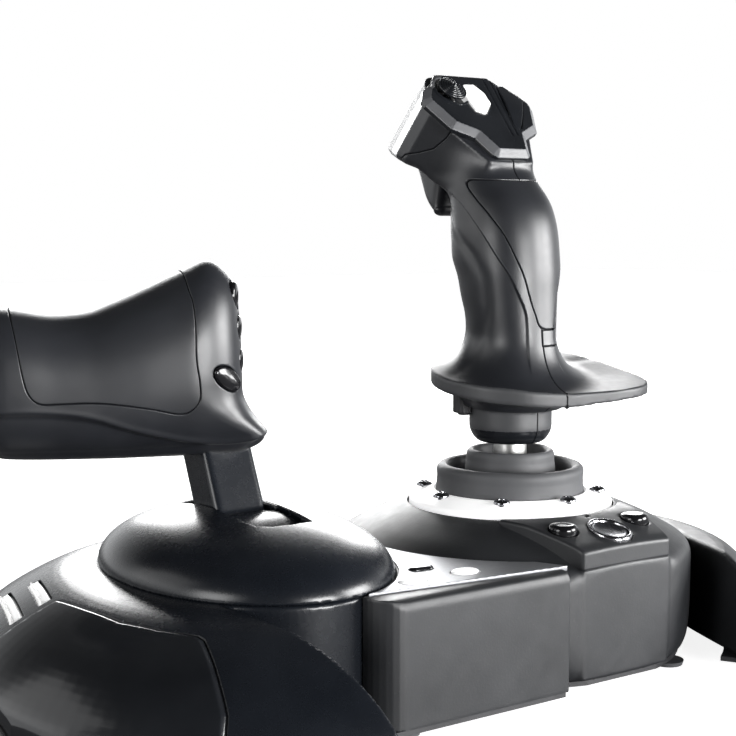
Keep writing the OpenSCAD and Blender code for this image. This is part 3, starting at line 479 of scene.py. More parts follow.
def handle_field(P):
    l, m, z = hnd_lmz(P)
    k = 5.0 + 9.0 * sstep((z - 104) / 22)
    d = handle_loft_d(P)
    t = thumb_face_d(P)
    h = np.maximum(k - np.abs(d - t), 0) / k
    d = np.maximum(d, t) + h * h * k * 0.25
    return smax(d, l - 124.0 + 0.006 * (m + 2) ** 2 + 0.006 * (z - 126) ** 2, 16.0)


# ---------------------------------------------------------------- throttle base
TC = (-135.0, 5.0)
ell_poly = np.array([(TC[0] + 55 * math.cos(a), TC[1] + 72.5 * math.sin(a)) for a in np.linspace(0, 2 * math.pi, 121)[:-1]])
ell_grid = []


def ell_d(x, y):
    if not ell_grid:
        ell_grid.append(Grid2(lambda a, b: sd_poly(a, b, ell_poly), -275, -20, -150, 155, 0.5))
    return ell_grid[0](x, y)


apron_poly = np.concatenate([[[-40, 4.1], [59.5, 4.1]], spline([(61.4, 12), (56, 24), (42, 37), (21, 48), (4, 52.0), (-6, 53.2)], 6), [[-40, 53.2]]])
KEEP = [[-178, -31], [-157, -97], [-145, -140], [-300, -140], [-300, 150], [-112, 150], [-112, 60], [-135, 5]]
LINK_TOP = [[-126, -80.3], [-35.7, -80.3], [-35.7, -50], [-70, 3], [-90, 12], [-126, -40]]


def throttle_base_field(P):
    x, y, z = P[..., 0], P[..., 1], P[..., 2]
    e = ell_d(x, y)
    a = rpoly(e, z, apron_poly, 1.0)
    a = smax(a, sd_poly(x, y, KEEP), 1.0)
    w = ext(e, z, 4.1, 53.0, 1.3)
    return smin(a, w, 1.0)


def dome_raw(P):
    x, y, z = P[..., 0] - TC[0], P[..., 1] - TC[1], P[..., 2] - 53.1
    return (np.sqrt((x / 54.8) ** 2 + (y / 72.3) ** 2 + (np.maximum(z, -6) / 24.0) ** 2) - 1) * 40


dome_d = even(dome_raw)
# ---------------------------------------------------------------- end of shape library


# ---------------------------------------------------------------- mesh and material helpers
def mesh_of(name, V, F, smooth=True, seam_dirt_and_shade=None, sharp=None):
    """Blender mesh from millimetre vertices and triangle or quad rows."""
    V = np.ascontiguousarray(V, float) * 0.001
    me = bpy.data.meshes.new(name)
    rows = F if isinstance(F, list) else [F]
    me.vertices.add(len(V))
    me.vertices.foreach_set("co", V.astype(np.float32).ravel())
    loops = np.concatenate([r.ravel() for r in rows]).astype(np.int32)
    sizes = np.concatenate([np.full(len(r), r.shape[1]) for r in rows]).astype(np.int32)
    me.loops.add(len(loops))
    me.loops.foreach_set("vertex_index", loops)
    me.polygons.add(len(sizes))
    me.polygons.foreach_set("loop_start", np.concatenate([[0], np.cumsum(sizes)[:-1]]).astype(np.int32))
    me.update(calc_edges=True)
    me.validate()
    me.polygons.foreach_set("use_smooth", np.full(len(me.polygons), smooth))
    # per-vertex seam strength, which the material paints as dark shade and grime
    if seam_dirt_and_shade is not None:
        at = me.attributes.new("seam_dirt_and_shade", "FLOAT", "POINT")
        at.data.foreach_set("value", np.asarray(seam_dirt_and_shade, np.float32))
    if sharp is not None:
        me.set_sharp_from_angle(angle=math.radians(sharp))
    return me


def piece(name, me, body, mat, replaces=(), slot=None, second=None, pick=None, third=None, pick3=None):
    o = bpy.data.objects.new(name, me)
    bpy.context.scene.collection.objects.link(o)
    me.materials.clear()
    me.materials.append(MAT[mat])
    if second:
        me.materials.append(MAT[second])
        idx = np.zeros(len(me.polygons), np.int32)
        c = np.empty(len(me.polygons) * 3, np.float32)
        me.polygons.foreach_get("center", c)
        c = c.reshape(-1, 3).astype(float) * 1000
        idx[pick(c)] = 1
        if third:
            me.materials.append(MAT[third])
            idx[pick3(c)] = 2
        me.polygons.foreach_set("material_index", idx)
    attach(o, body)
    if replaces:
        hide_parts(*replaces)
    slot or SLOT[mat]
    return o


def build(f, lo, hi, h, n=3):
    V, Q = nets(f, lo, hi, h * (1.0))
    return project(f, V, n, 0.7 * h + 0.2), Q


def sdf_piece(name, f, lo, hi, h, body, mat, replaces=(), sharp=None, **k):
    V, Q = build(f, lo, hi, h)
    return piece(name, mesh_of(name, V, Q, sharp=sharp), body, mat, replaces, **k)


def lathe(name, prof, n=96, centre=(0, 0, 0), sharp=40, wobble=None, axis=None):
    """Turned solid: prof is a closed chain of (radius, height) from the axis at the bottom or as a loop that misses the axis."""
    p = np.array(prof, float)
    loop = p[:, 0].min() > 1e-6
    a = np.arange(n) * 2 * math.pi / n
    V, idx = [], []
    for r, z in p:
        if r <= 1e-6:
            idx.append([len(V)] * n)
            V.append([0, 0, z])
        else:
            idx.append(list(range(len(V), len(V) + n)))
            V += [[r * math.cos(t), r * math.sin(t), z] for t in a]
    V = np.array(V)
    quads, tri = [], []
    m = len(p)
    for i in range(m if loop else m - 1):
        A, B = idx[i], idx[(i + 1) % m]
        for j in range(n):
            k = (j + 1) % n
            f = [A[j], A[k], B[k], B[j]]
            if A[j] == A[k] and B[j] == B[k]:
                continue
            if A[j] == A[k]:
                tri.append([A[j], B[k], B[j]])
            elif B[j] == B[k]:
                tri.append([A[j], A[k], B[j]])
            else:
                quads.append(f)
    area = 0.0
    for i in range(m):
        (r0, z0), (r1, z1) = p[i], p[(i + 1) % m]
        area += r0 * z1 - r1 * z0
    Q, T = np.array(quads).reshape(-1, 4), np.array(tri, int).reshape(-1, 3)
    if area < 0:
        Q, T = Q[:, ::-1], T[:, ::-1]
    if wobble is not None:
        V = wobble(V)
    if axis is not None:
        V = axis(V)
    V = V + np.array(centre, float)
    rows = [r for r in (Q, T) if len(r)]
    return mesh_of(name, V, rows, sharp=sharp)


def roundprof(pts, r=0.4, n=3):
    """Rounds the corners of a profile chain, except its two ends."""
    p = np.array(pts, float)
    out = [p[0]]
    for i in range(1, len(p) - 1):
        a, b = p[i - 1] - p[i], p[i + 1] - p[i]
        la, lb = np.linalg.norm(a), np.linalg.norm(b)
        q = min(r, la * 0.45, lb * 0.45)
        s, e = p[i] + a / la * q, p[i] + b / lb * q
        for k in range(n + 1):
            t = k / n
            out.append(s * (1 - t) ** 2 + 2 * p[i] * t * (1 - t) + e * t * t)
    out.append(p[-1])
    return out


def vnoise(P, scale, seed=0.0):
    """Cheap smooth seeded waviness between -1 and 1."""
    x, y, z = (P[:, k] / scale for k in range(3))
    return (np.sin(x * 1.7 + y * 2.3 + seed) * np.cos(y * 1.9 - z * 1.3 + seed * 2) + 0.5 * np.sin(z * 3.1 + x * 2.9 + seed * 3) * np.cos(y * 3.7 + seed)) / 1.5


class Nodes:
    def __init__(self, name):
        self.m = bpy.data.materials.new(name)
        self.m.use_nodes = True
        self.t = self.m.node_tree
        self.b = next(n for n in self.t.nodes if n.type == "BSDF_PRINCIPLED")
        self.tc = self.add("ShaderNodeTexCoord")

    def add(self, kind, **k):
        n = self.t.nodes.new(kind)
        for a, v in k.items():
            setattr(n, a, v)
        return n

    def link(self, a, b):
        self.t.links.new(a, b)

    def noise(self, scale, detail=4.0, rough=0.6, coord="Object"):
        n = self.add("ShaderNodeTexNoise")
        n.inputs["Scale"].default_value = scale
        n.inputs["Detail"].default_value = detail
        n.inputs["Roughness"].default_value = rough
        self.link(self.tc.outputs[coord], n.inputs["Vector"])
        return n

    def ramp(self, src, a, b, lo=0.35, hi=0.65):
        r = self.add("ShaderNodeMapRange")
        r.inputs["From Min"].default_value, r.inputs["From Max"].default_value = lo, hi
        r.inputs["To Min"].default_value, r.inputs["To Max"].default_value = a, b
        self.link(src, r.inputs["Value"])
        return r.outputs["Result"]

    def mixc(self, fac, a, b):
        m = self.add("ShaderNodeMix", data_type="RGBA")
        if isinstance(fac, float):
            m.inputs["Factor"].default_value = fac
        else:
            self.link(fac, m.inputs["Factor"])
        for s, v in ((m.inputs[6], a), (m.inputs[7], b)):
            if isinstance(v, tuple):
                s.default_value = (*v, 1)
            else:
                self.link(v, s)
        return m.outputs[2]

    def math(self, op, a, b=None):
        m = self.add("ShaderNodeMath", operation=op)
        for s, v in zip(m.inputs, (a, b)):
            if v is None:
                continue
            if isinstance(v, (int, float)):
                s.default_value = v
            else:
                self.link(v, s)
        return m.outputs[0]


def plastic(name, col, rough, spread=0.06, grain=900, bump=0.10, dist=0.00006, spec=0.5, coat=0.0, coat_rough=0.1, metal=0.0, mottled=0.12, wear=0.25, blotch=35, speck=0.0, seam_dirt_and_shade=True, glow=0.0):
    """Moulded or painted surface: pebbled grain in bump and roughness, slow colour drift, rubbed edges, seams painted
    near-black as grime and shade with their reflection cut, and an optional glow that paints light onto the surface.
    """
    k = Nodes(name)
    fine, slow = k.noise(grain, 3.0, 0.55), k.noise(blotch, 3.0, 0.5)
    mid = k.noise(grain / 5, 4.0, 0.6)
    lo = tuple(c * (1 - mottled) for c in col)
    hi = tuple(min(1, c * (1 + mottled) + 0.0015) for c in col)
    c = k.mixc(k.ramp(slow.outputs["Fac"], 0.0, 1.0), lo, hi)
    if speck:
        c = k.mixc(k.ramp(fine.outputs["Fac"], 0.0, 1.0, 0.62, 0.70), c, tuple(min(1, x + speck) for x in col))
    if wear:
        g = k.add("ShaderNodeNewGeometry")
        w = k.ramp(g.outputs["Pointiness"], 0.0, wear, 0.515, 0.58)
        w = k.math("MULTIPLY", w, k.ramp(mid.outputs["Fac"], 0.3, 1.0))
        c = k.mixc(w, c, tuple(min(1, x * 2.6 + 0.02) for x in col))
    r = k.ramp(mid.outputs["Fac"], rough - spread, rough + spread)
    # painted shade and grime in the seams: near-black colour, raised roughness and no specular reflection where the
    # seam attribute is high
    if seam_dirt_and_shade:
        a = k.add("ShaderNodeAttribute", attribute_name="seam_dirt_and_shade")
        c = k.mixc(a.outputs["Fac"], c, (0.0015, 0.0015, 0.0018))
        r = k.math("MAXIMUM", r, k.math("MULTIPLY", a.outputs["Fac"], 0.9))
        s = k.math("SUBTRACT", 1.0, a.outputs["Fac"])
        k.link(k.math("MULTIPLY", s, spec), k.b.inputs["Specular IOR Level"])
    else:
        k.b.inputs["Specular IOR Level"].default_value = spec
    k.link(c, k.b.inputs["Base Color"])
    k.link(r, k.b.inputs["Roughness"])
    k.b.inputs["Metallic"].default_value = metal
    k.b.inputs["Emission Color"].default_value = (1, 1, 1, 1)
    # glow is painted light: white emission that brightens the part although it is no lamp
    k.b.inputs["Emission Strength"].default_value = glow
    k.b.inputs["Coat Weight"].default_value = coat
    k.b.inputs["Coat Roughness"].default_value = coat_rough
    h = k.math("ADD", k.math("MULTIPLY", fine.outputs["Fac"], 0.7), k.math("MULTIPLY", mid.outputs["Fac"], 0.3))
    bp = k.add("ShaderNodeBump")
    bp.inputs["Strength"].default_value = bump
    bp.inputs["Distance"].default_value = dist
    k.link(h, bp.inputs["Height"])
    k.link(bp.outputs["Normal"], k.b.inputs["Normal"])
    return k.m


def metal(name, col, rough, brushed=0.0, axis=2, spread=0.05):
    k = Nodes(name)
    mp = k.add("ShaderNodeMapping")
    s = [160.0] * 3
    if brushed:
        s[axis] = 6000.0
    mp.inputs["Scale"].default_value = s
    k.link(k.tc.outputs["Object"], mp.inputs["Vector"])
    n = k.add("ShaderNodeTexNoise")
    n.inputs["Scale"].default_value, n.inputs["Detail"].default_value = 1.0, 5.0
    k.link(mp.outputs["Vector"], n.inputs["Vector"])
    k.link(k.mixc(k.ramp(n.outputs["Fac"], 0.0, 1.0), tuple(c * 0.86 for c in col), col), k.b.inputs["Base Color"])
    k.link(k.ramp(n.outputs["Fac"], rough - spread, rough + spread), k.b.inputs["Roughness"])
    k.b.inputs["Metallic"].default_value = 1.0
    bp = k.add("ShaderNodeBump")
    bp.inputs["Strength"].default_value = 0.05 + brushed * 0.15
    bp.inputs["Distance"].default_value = 0.00002
    k.link(n.outputs["Fac"], bp.inputs["Height"])
    k.link(bp.outputs["Normal"], k.b.inputs["Normal"])
    return k.m


MAT = {
    "body": plastic("satin_charcoal", (0.012, 0.013, 0.016), 0.38, 0.02, 1500, 0.14, 0.00005, spec=0.6, wear=0.05),
    "grain": plastic("grained_charcoal", (0.016, 0.017, 0.019), 0.46, 0.03, 900, 0.40, 0.00012, spec=0.55, speck=0.008, wear=0.05),
    "dome": plastic("smooth_charcoal", (0.006, 0.0075, 0.0105), 0.27, 0.010, 1500, 0.05, 0.00003, spec=0.5, wear=0.0),
    "soft": plastic("soft_touch_skin", (0.014, 0.015, 0.018), 0.40, 0.02, 2200, 0.16, 0.00005, spec=0.6, wear=0.0),
    "gloss": plastic("polished_black", (0.008, 0.009, 0.011), 0.20, 0.010, 700, 0.04, 0.00003, spec=0.5, coat=0.1, coat_rough=0.12, wear=0.03),
    "piano": plastic("gloss_black_button", (0.005, 0.005, 0.006), 0.13, 0.02, 300, 0.02, 0.00002, spec=0.5, wear=0.0),
    "edge": plastic("satin_edge_band", (0.040, 0.041, 0.044), 0.48, 0.03, 1500, 0.16, 0.00005, spec=0.6, wear=0.05),
    "rim": plastic("satin_grey_rim", (0.10, 0.102, 0.108), 0.42, 0.03, 900, 0.25, 0.00008, spec=0.6, speck=0.03, wear=0.1),
    # the white ring and white button plastics carry glow: painted light that lifts them towards white
    "white": plastic("white_ring_plastic", (0.88, 0.88, 0.875), 0.32, 0.05, 700, 0.05, 0.00004, mottled=0.02, wear=0.0, glow=0.5),
    "button_white": plastic("white_button_plastic", (0.88, 0.88, 0.87), 0.28, 0.05, 700, 0.05, 0.00004, mottled=0.02, wear=0.0, glow=0.4),
    "silver": plastic("silver_paint", (0.26, 0.265, 0.28), 0.38, 0.03, 2600, 0.10, 0.00004, metal=0.55, mottled=0.04, speck=0.06, wear=0.0),
    "rubber": plastic("boot_rubber_skin", (0.068, 0.069, 0.073), 0.58, 0.05, 500, 0.25, 0.00010, spec=0.4, mottled=0.10, wear=0.10),
    "under": plastic("dark_nylon", (0.022, 0.022, 0.024), 0.58, 0.06, 700, 0.25, 0.00008, wear=0.15),
    "iron": plastic("cast_plate", (0.12, 0.12, 0.12), 0.6, 0.1, 500, 0.5, 0.0002, metal=0.7),
    "board": plastic("solder_mask", (0.015, 0.09, 0.04), 0.35, 0.05, 1200, 0.1, 0.00005),
    "blue": plastic("sensor_housing", (0.03, 0.07, 0.25), 0.4, 0.05, 900, 0.1, 0.00005),
    "chrome": metal("chrome_screw", (0.42, 0.42, 0.44), 0.16),
    "steel": metal("drawn_steel", (0.92, 0.92, 0.90), 0.34, 0.6, 2),
    "ringmetal": metal("polished_ring", (0.50, 0.50, 0.52), 0.18),
    "disc": metal("spun_disc", (0.24, 0.245, 0.26), 0.30, 0.5, 0),
    "bronze": metal("bearing_bronze", (0.55, 0.36, 0.16), 0.35),
}
SLOT = {"body": "body_plastic", "edge": "body_plastic", "grain": "body_plastic", "dome": "body_plastic", "soft": "soft_touch", "gloss": "gloss_black", "piano": "gloss_black", "rim": "gloss_black",
    "white": "ring_white", "button_white": "white_plastic", "silver": "silver_plastic", "rubber": "boot_rubber", "under": "under_plastic", "iron": "ballast_iron", "board": "board_green",
    "blue": "sensor_blue", "chrome": "bright_screws", "steel": "plain_steel", "ringmetal": "bright_screws", "disc": "silver_plastic", "bronze": "bronze"}


def seamed(V, T, fields, reach=0.46, depth=0.5, size=0.24, f=None, near=1.0):
    """Refines a mesh along the zero lines of the given fields, then sinks a narrow groove there. Returns V, T, groove
    strength; the material paints that strength as dark grime and shade in the seam.
    """
    V, T = refine(V, T, lambda p: np.min([np.abs(g(p)) for g in fields], 0) < near, size * (1.0))
    if f is not None:
        V = project(f, V, 2)
    N = vnormals(V, T)
    s = np.min([np.abs(g(V)) for g in fields], 0)
    fn = np.cross(V[T[:, 1]] - V[T[:, 0]], V[T[:, 2]] - V[T[:, 0]])
    fa = np.linalg.norm(fn, axis=1)
    S = np.stack([np.bincount(T.ravel(), np.repeat(fn[:, k], 3), len(V)) for k in range(3)], 1)
    flat = np.linalg.norm(S, axis=1) / (np.bincount(T.ravel(), np.repeat(fa, 3), len(V)) + 1e-12)
    w = sstep(1 - s / reach) * sstep((flat - 0.86) / 0.10)
    return V - N * (w * depth)[:, None], T, sstep(1 - s / (reach * 0.62))


def split_save(V, T, seam_dirt_and_shade, s):
    """cut() that carries the seam strength along."""
    n = len(V)
    V4 = np.concatenate([V, seam_dirt_and_shade[:, None]], 1)
    W, A, B = cut(V4, T, s)
    return W[:, :3], A, B, W[:, 3]


def solid(name, V, T, seam_dirt_and_shade, t):
    u, inv = np.unique(T, return_inverse=True)
    W, F = thicken(V[u], inv.reshape(T.shape), t)
    sm = np.concatenate([seam_dirt_and_shade[u], seam_dirt_and_shade[u]])
    return mesh_of(name, W, F, seam_dirt_and_shade=sm)


# ---------------------------------------------------------------- grip
TRIG = [[66, 224], [63.5, 217], [59.5, 212], [56.5, 207], [53.5, 201.5], [49.5, 197], [43.5, 192.8], [40.6, 194], [40, 198], [38.6, 204], [37, 209], [34.4, 213], [30.5, 216.5], [28.5, 224]]
trig_poly = spline(TRIG, 3, True)


def turned(y, z, a):
    c, s = math.cos(math.radians(a)), math.sin(math.radians(a))
    return 50 + (y - 50) * c - (z - 219) * s, 219 + (y - 50) * s + (z - 219) * c


def trig_room(P):
    y, z = P[..., 1], P[..., 2]
    d = np.min([sd_poly(*turned(y, z, a), trig_poly) for a in (0.0, 3.7, 7.4)], 0) - 0.8
    return smax(d, np.abs(P[..., 0]) - 12.0, 1.0)


def grip_full(P):
    d = grip_field(P)
    near = (P[..., 1] > 20) & (P[..., 2] > 186) & (P[..., 2] < 230) & (np.abs(P[..., 0]) < 16)
    r = np.full(d.shape, 9.0)
    if near.any():
        r[near] = trig_room(P[near])
    return smax(d, -r, 0.8)


PHI_L = curve([[140, -6], [145.7, -6.7], [153.6, -13.6], [171.3, -26], [183.6, -38.3], [194.3, -55.3], [200.2, -66.7], [205.4, -74], [212, -80]], 1.0)
PHI_R = curve([[140, 30], [146, 32], [153, 40], [171, 58], [184, 72], [194, 84], [205, 95], [212, 100]], 1.0)


def phi(P):
    return np.degrees(np.arctan2(P[..., 0], -(P[..., 1] - g_yc(P[..., 2]))))


def pad_field(P):
    p, z = phi(P), P[..., 2]
    r = np.hypot(P[..., 0], P[..., 1] - g_yc(z)) * math.pi / 180
    left, right = (PHI_L(z) - p) * r * 0.80, (p - PHI_R(z)) * r * 0.80
    top = z - (208.2 + 0.00008 * p * p)
    bottom = 143.3 - z
    return smax(smax(left, right, 1.0), smax(top, bottom, 0.5), 4.5)


def inlay_field(P):
    """Small screw cover under the palm pad."""
    x, z = P[..., 0] - 5.6, P[..., 2] - 139.6
    d = np.maximum(np.abs(x) - 5.9, np.abs(z) - 3.5)
    return np.where(P[..., 1] < 0, d, 40.0)


HEADSEAM = [(-30, 262), (6, 238), (19, 226.9), (26.7, 222.6), (35, 221.2), (43.4, 220.6), (60, 212), (95, 206), (95, 300), (-30, 300)]


def headseam_field(P):
    return sd_poly(P[..., 1], P[..., 2], HEADSEAM)


BAND = curve([[112, -22], [125, -20.5], [139, -20], [148.2, -21], [161.3, -31.8], [176.7, -50], [193.6, -81], [200, -100], [206, -125], [225, -150]], 1.0)
CREASE = curve([[112, -96], [124, -92], [138.4, -84.6], [155.7, -70], [163.5, -69.5], [175, -79], [182, -100], [190, -124], [215, -150]], 1.0)


def shape_grip(V, T):
    """The raised band on the palm side and the soft crease in front of it."""
    N = vnormals(V, T)
    z, p = V[:, 2], -np.abs(phi(V))
    r = np.hypot(V[:, 0], V[:, 1] - g_yc(z)) * math.pi / 180
    on = sstep((z - 122) / 16) * sstep((213 - z) / 6)
    db = (p - BAND(z)) * r
    step = 1.05 * sstep(db / 0.9 + 0.5) * np.exp(-np.maximum(db, 0) / 26.0)
    dc = (p - CREASE(z)) * r
    fall = sstep((z - 118) / 22) * sstep((203 - z) / 10)
    groove = -0.65 * np.exp(-((dc / 3.4) ** 2)) + 0.3 * np.exp(-(((dc + 7) / 5.0) ** 2))
    return V + N * (on * (step - 0.35) + fall * groove)[:, None]


def make_grip():
    V, Q = build(grip_full, (-58, -70, 91), (74, 80, 262), 0.9)
    T = tris(Q)
    band = lambda p: np.where((p[:, 2] > 125) & (p[:, 2] < 215), (-np.abs(phi(p)) - BAND(p[:, 2])) * 0.36, 9.0)
    V, T = refine(V, T, lambda p: np.abs(band(p)) < 1.3, 0.45)
    V = project(grip_full, V, 1)
    V = shape_grip(V, T)
    half = lambda p: np.where((p[:, 2] > 226) & (p[:, 1] > 20) | (pad_field(p) < 0.15), 9.0, p[:, 0])
    collar = lambda p: p[:, 2] - 98.0
    fields = [pad_field, headseam_field, half, inlay_field]
    V, T, seam_dirt_and_shade = seamed(V, T, fields)
    N = vnormals(V, T)
    V, Thead, T, seam_dirt_and_shade = (lambda r: (r[0], r[1], r[2], r[3]))(split_save(V, T, seam_dirt_and_shade, headseam_field(V)))
    V, Tpad, T, seam_dirt_and_shade = (lambda r: (r[0], r[1], r[2], r[3]))(split_save(V, T, seam_dirt_and_shade, pad_field(V)))
    V, Tl, Tr, seam_dirt_and_shade = (lambda r: (r[0], r[1], r[2], r[3]))(split_save(V, T, seam_dirt_and_shade, V[:, 0]))
    low = lambda c: c[:, 2] < 98.2
    band3 = lambda c: ((np.hypot(c[:, 0], c[:, 1]) > 21) & (c[:, 2] < 140) & (c[:, 2] > 100) & (rest_grid[0](c[:, 0], c[:, 1]) > -0.32)) | ((np.hypot(c[:, 0], c[:, 1]) < 19.5) & (c[:, 2] > 98.2) & (c[:, 2] < 113))
    piece("head_shell_skin", solid("head_shell_skin", V, Thead, seam_dirt_and_shade, 0.9), "grip", "body", ("head_shell",))
    piece("palm_pad_skin", solid("palm_pad_skin", V, Tpad, seam_dirt_and_shade, 0.9), "grip", "soft", ("palm_pad",))
    piece("grip_left_skin", solid("grip_left_skin", V, Tl, seam_dirt_and_shade, 0.9), "grip", "body", ("grip_left",), second="gloss", pick=low, third="edge", pick3=band3)
    piece("grip_right_skin", solid("grip_right_skin", V, Tr, seam_dirt_and_shade, 0.9), "grip", "body", ("grip_right",), second="gloss", pick=low, third="edge", pick3=band3)

    def trigger(P):
        d = sd_poly(P[..., 1], P[..., 2], inset(TRIGP, 2.6)) - 2.6
        return smax(d, np.abs(P[..., 0]) - 11.2 + 0.010 * (P[..., 1] - 36) ** 2 * 0.35, 5.0)

    sdf_piece("trigger_blade", trigger, (-12, 26, 190), (12, 68, 223), 0.6, "trigger", "body", ("trigger",), slot="under_plastic")


TRIGP = spline([[63.2, 221.5], [62.2, 217], [59.0, 212], [56.2, 207], [53.2, 201.5], [49.2, 197], [43.6, 193.2], [41.4, 194.4], [41, 198], [39.8, 204], [38.2, 209], [35.6, 213], [31.5, 217.5], [30.5, 221.5]], 3, True)


# ---------------------------------------------------------------- faceplate and head controls
def make_head():
    lineA = [(10, -3.6), (5.2, -43.4)]
    lineB = [(14.1, -2.0), (8.3, -42.6)]
    hexp = np.array([[-7.2, 4.6], [-3.2, 8.6], [2.6, 9.0], [5.8, 3.2], [5.6, -4], [-0.6, -10.6], [-5.4, -8.6]]) + [-1.6, -18.6]
    trir = np.array([[15.4, -9], [20, -7.4], [25.6, -18.8], [13.6, -38], [10, -38]])

    def face(P):
        u, t, n = head_uvn(P)
        d2 = rpoly(u, t, plate_poly, 1.2)
        ch = (d2 * 2.8 + (n + 2.8) * 3.4) / math.hypot(2.8, 3.4)
        dish = 0.25 * np.exp(-(((u - 3) / 16) ** 2 + ((t + 24) / 18) ** 2))
        d = smax(smax(smax(d2, n + dish, 0.3), ch, 0.35), -4.9 - n, 0.3)
        hat = np.hypot(u + 14, t + 14.5)
        d = smax(d, -np.maximum(hat - 8.1, -1.9 - n), 0.5)
        d = smin(d, np.maximum(np.abs(hat - 8.9) - 0.55, np.abs(n + 0.6) - 0.9), 0.5)
        for pl, g in ((hexp, 0.26), (trir, 0.26)):
            d = smax(d, -(np.maximum(sd_poly(u, t, pl) - g, -3.4 - n)), 0.2)
        for ln in (lineA, lineB):
            g = np.maximum(d_line(u, t, ln) - 0.34, -0.45 - n)
            d = smax(d, -g, 0.18)
        return d

    lo, hi = (-32, -6, 212), (32, 45, 262)
    V, Q = build(face, lo, hi, 0.42)

    def chamfer(c):
        u, t, n = head_uvn(c)
        d2 = rpoly(u, t, plate_poly, 1.2)
        return (d2 > -3.3) & (d2 < -0.1) & (n > -3.1)

    piece("faceplate_skin", mesh_of("faceplate_skin", V, Q), "grip", "gloss", ("faceplate",), second="rim", pick=chamfer)

    def pad(pl, top, crown, r=0.45, dish=0.0):
        c = pl.mean(0)

        def f(P):
            u, t, n = head_uvn(P)
            q = np.hypot(u - c[0], t - c[1])
            return smax(rpoly(u, t, pl, 0.5) + 0.0, np.maximum(n - top + crown * (q / 8) ** 2 + dish * np.exp(-((q / 4.2) ** 4)), -4.4 - n), r)

        return f

    sdf_piece("hex_button_cap", pad(hexp, 0.95, 0.1, 0.5, 0.55), lo, hi, 0.34, "hex_button", "button_white", ("hex_button",))
    sdf_piece("head_button_right_cap", pad(trir, 0.75, 0.35), lo, hi, 0.38, "head_button_right", "gloss", ("head_button_right",))
    prof = [(0, -0.9), (2.4, -0.9), (2.4, 0.4), (6.3, 0.6), (6.9, 1.1), (6.9, 1.7)]
    r, n = 6.9, 1.7
    for k in range(6):
        prof += [(r - 0.12, n + 0.34), (r - 0.42, n + 0.50), (r - 0.72, n + 0.34), (r - 0.92, n + 0.02)]
        r, n = r - 0.98, n + 0.42 - 0.02 * k
    prof += [(0.62, n + 0.42), (0.3, n + 0.55), (0, n + 0.58)]
    me = lathe("hat_cap_rings", prof, 72, sharp=60, axis=lambda V: head_xyz(V[:, 0] - 14, V[:, 1] - 14.5, V[:, 2]))
    piece("hat_cap_rings", me, "hat_cap", "gloss", ("hat_cap",))


# ---------------------------------------------------------------- stick base
BPROF = np.concatenate([[[0, 4.1], [75.8, 4.1]], spline([(78.2, 6.2), (79.6, 11), (80.4, 22), (80.5, 43.2)], 5), spline([(80.3, 45.6), (79.4, 48.0), (77.4, 50.3), (73, 53.0), (65, 57.4), (56, 61.4), (50, 63.8), (46.2, 65.2)], 5), [[45.9, 63.5], [0, 63.5]]])
WPROF = np.concatenate([[[79, 4.1], [118, 4.1], [117.9, 6]], spline([(117.4, 14), (114, 26), (108, 36), (100.5, 43.6), (95.4, 46.6)], 5), [[92, 46.9], [79, 46.8]]])
base_grid = []


def base_rev(P, g=0.0):
    if not base_grid:
        base_grid.append(Grid2(lambda a, b: rpoly(a, b, BPROF, 0.8), -2, 135, -6, 80, 0.25))
        base_grid.append(Grid2(lambda a, b: rpoly(a, b, WPROF, 1.4), -2, 135, -6, 80, 0.25))
    return base_grid[0](np.hypot(P[..., 0], P[..., 1]), P[..., 2])


def half_plane(x, y, a):
    """Distance to the line from the origin at angle a, positive on its clockwise side."""
    return x * math.sin(math.radians(a)) - y * math.cos(math.radians(a))


NOSE = [[-36, -34], [-24.4, -75.6], [24.4, -75.6], [36, -34]]
nose_top = curve([[-90, 56.4], [-75.6, 58.5], [-73, 59.9], [-66, 62.1], [-58, 64.2], [-46.4, 66.6], [-20, 67.6]], 1.2)


CLAW = np.concatenate([spline([(84, -14), (79.5, -26), (72.8, -37.9), (64.3, -61), (57.5, -82), (53.0, -98), (48, -125)], 4), [[-30, -125], [-30, -10], [40, -5]]])


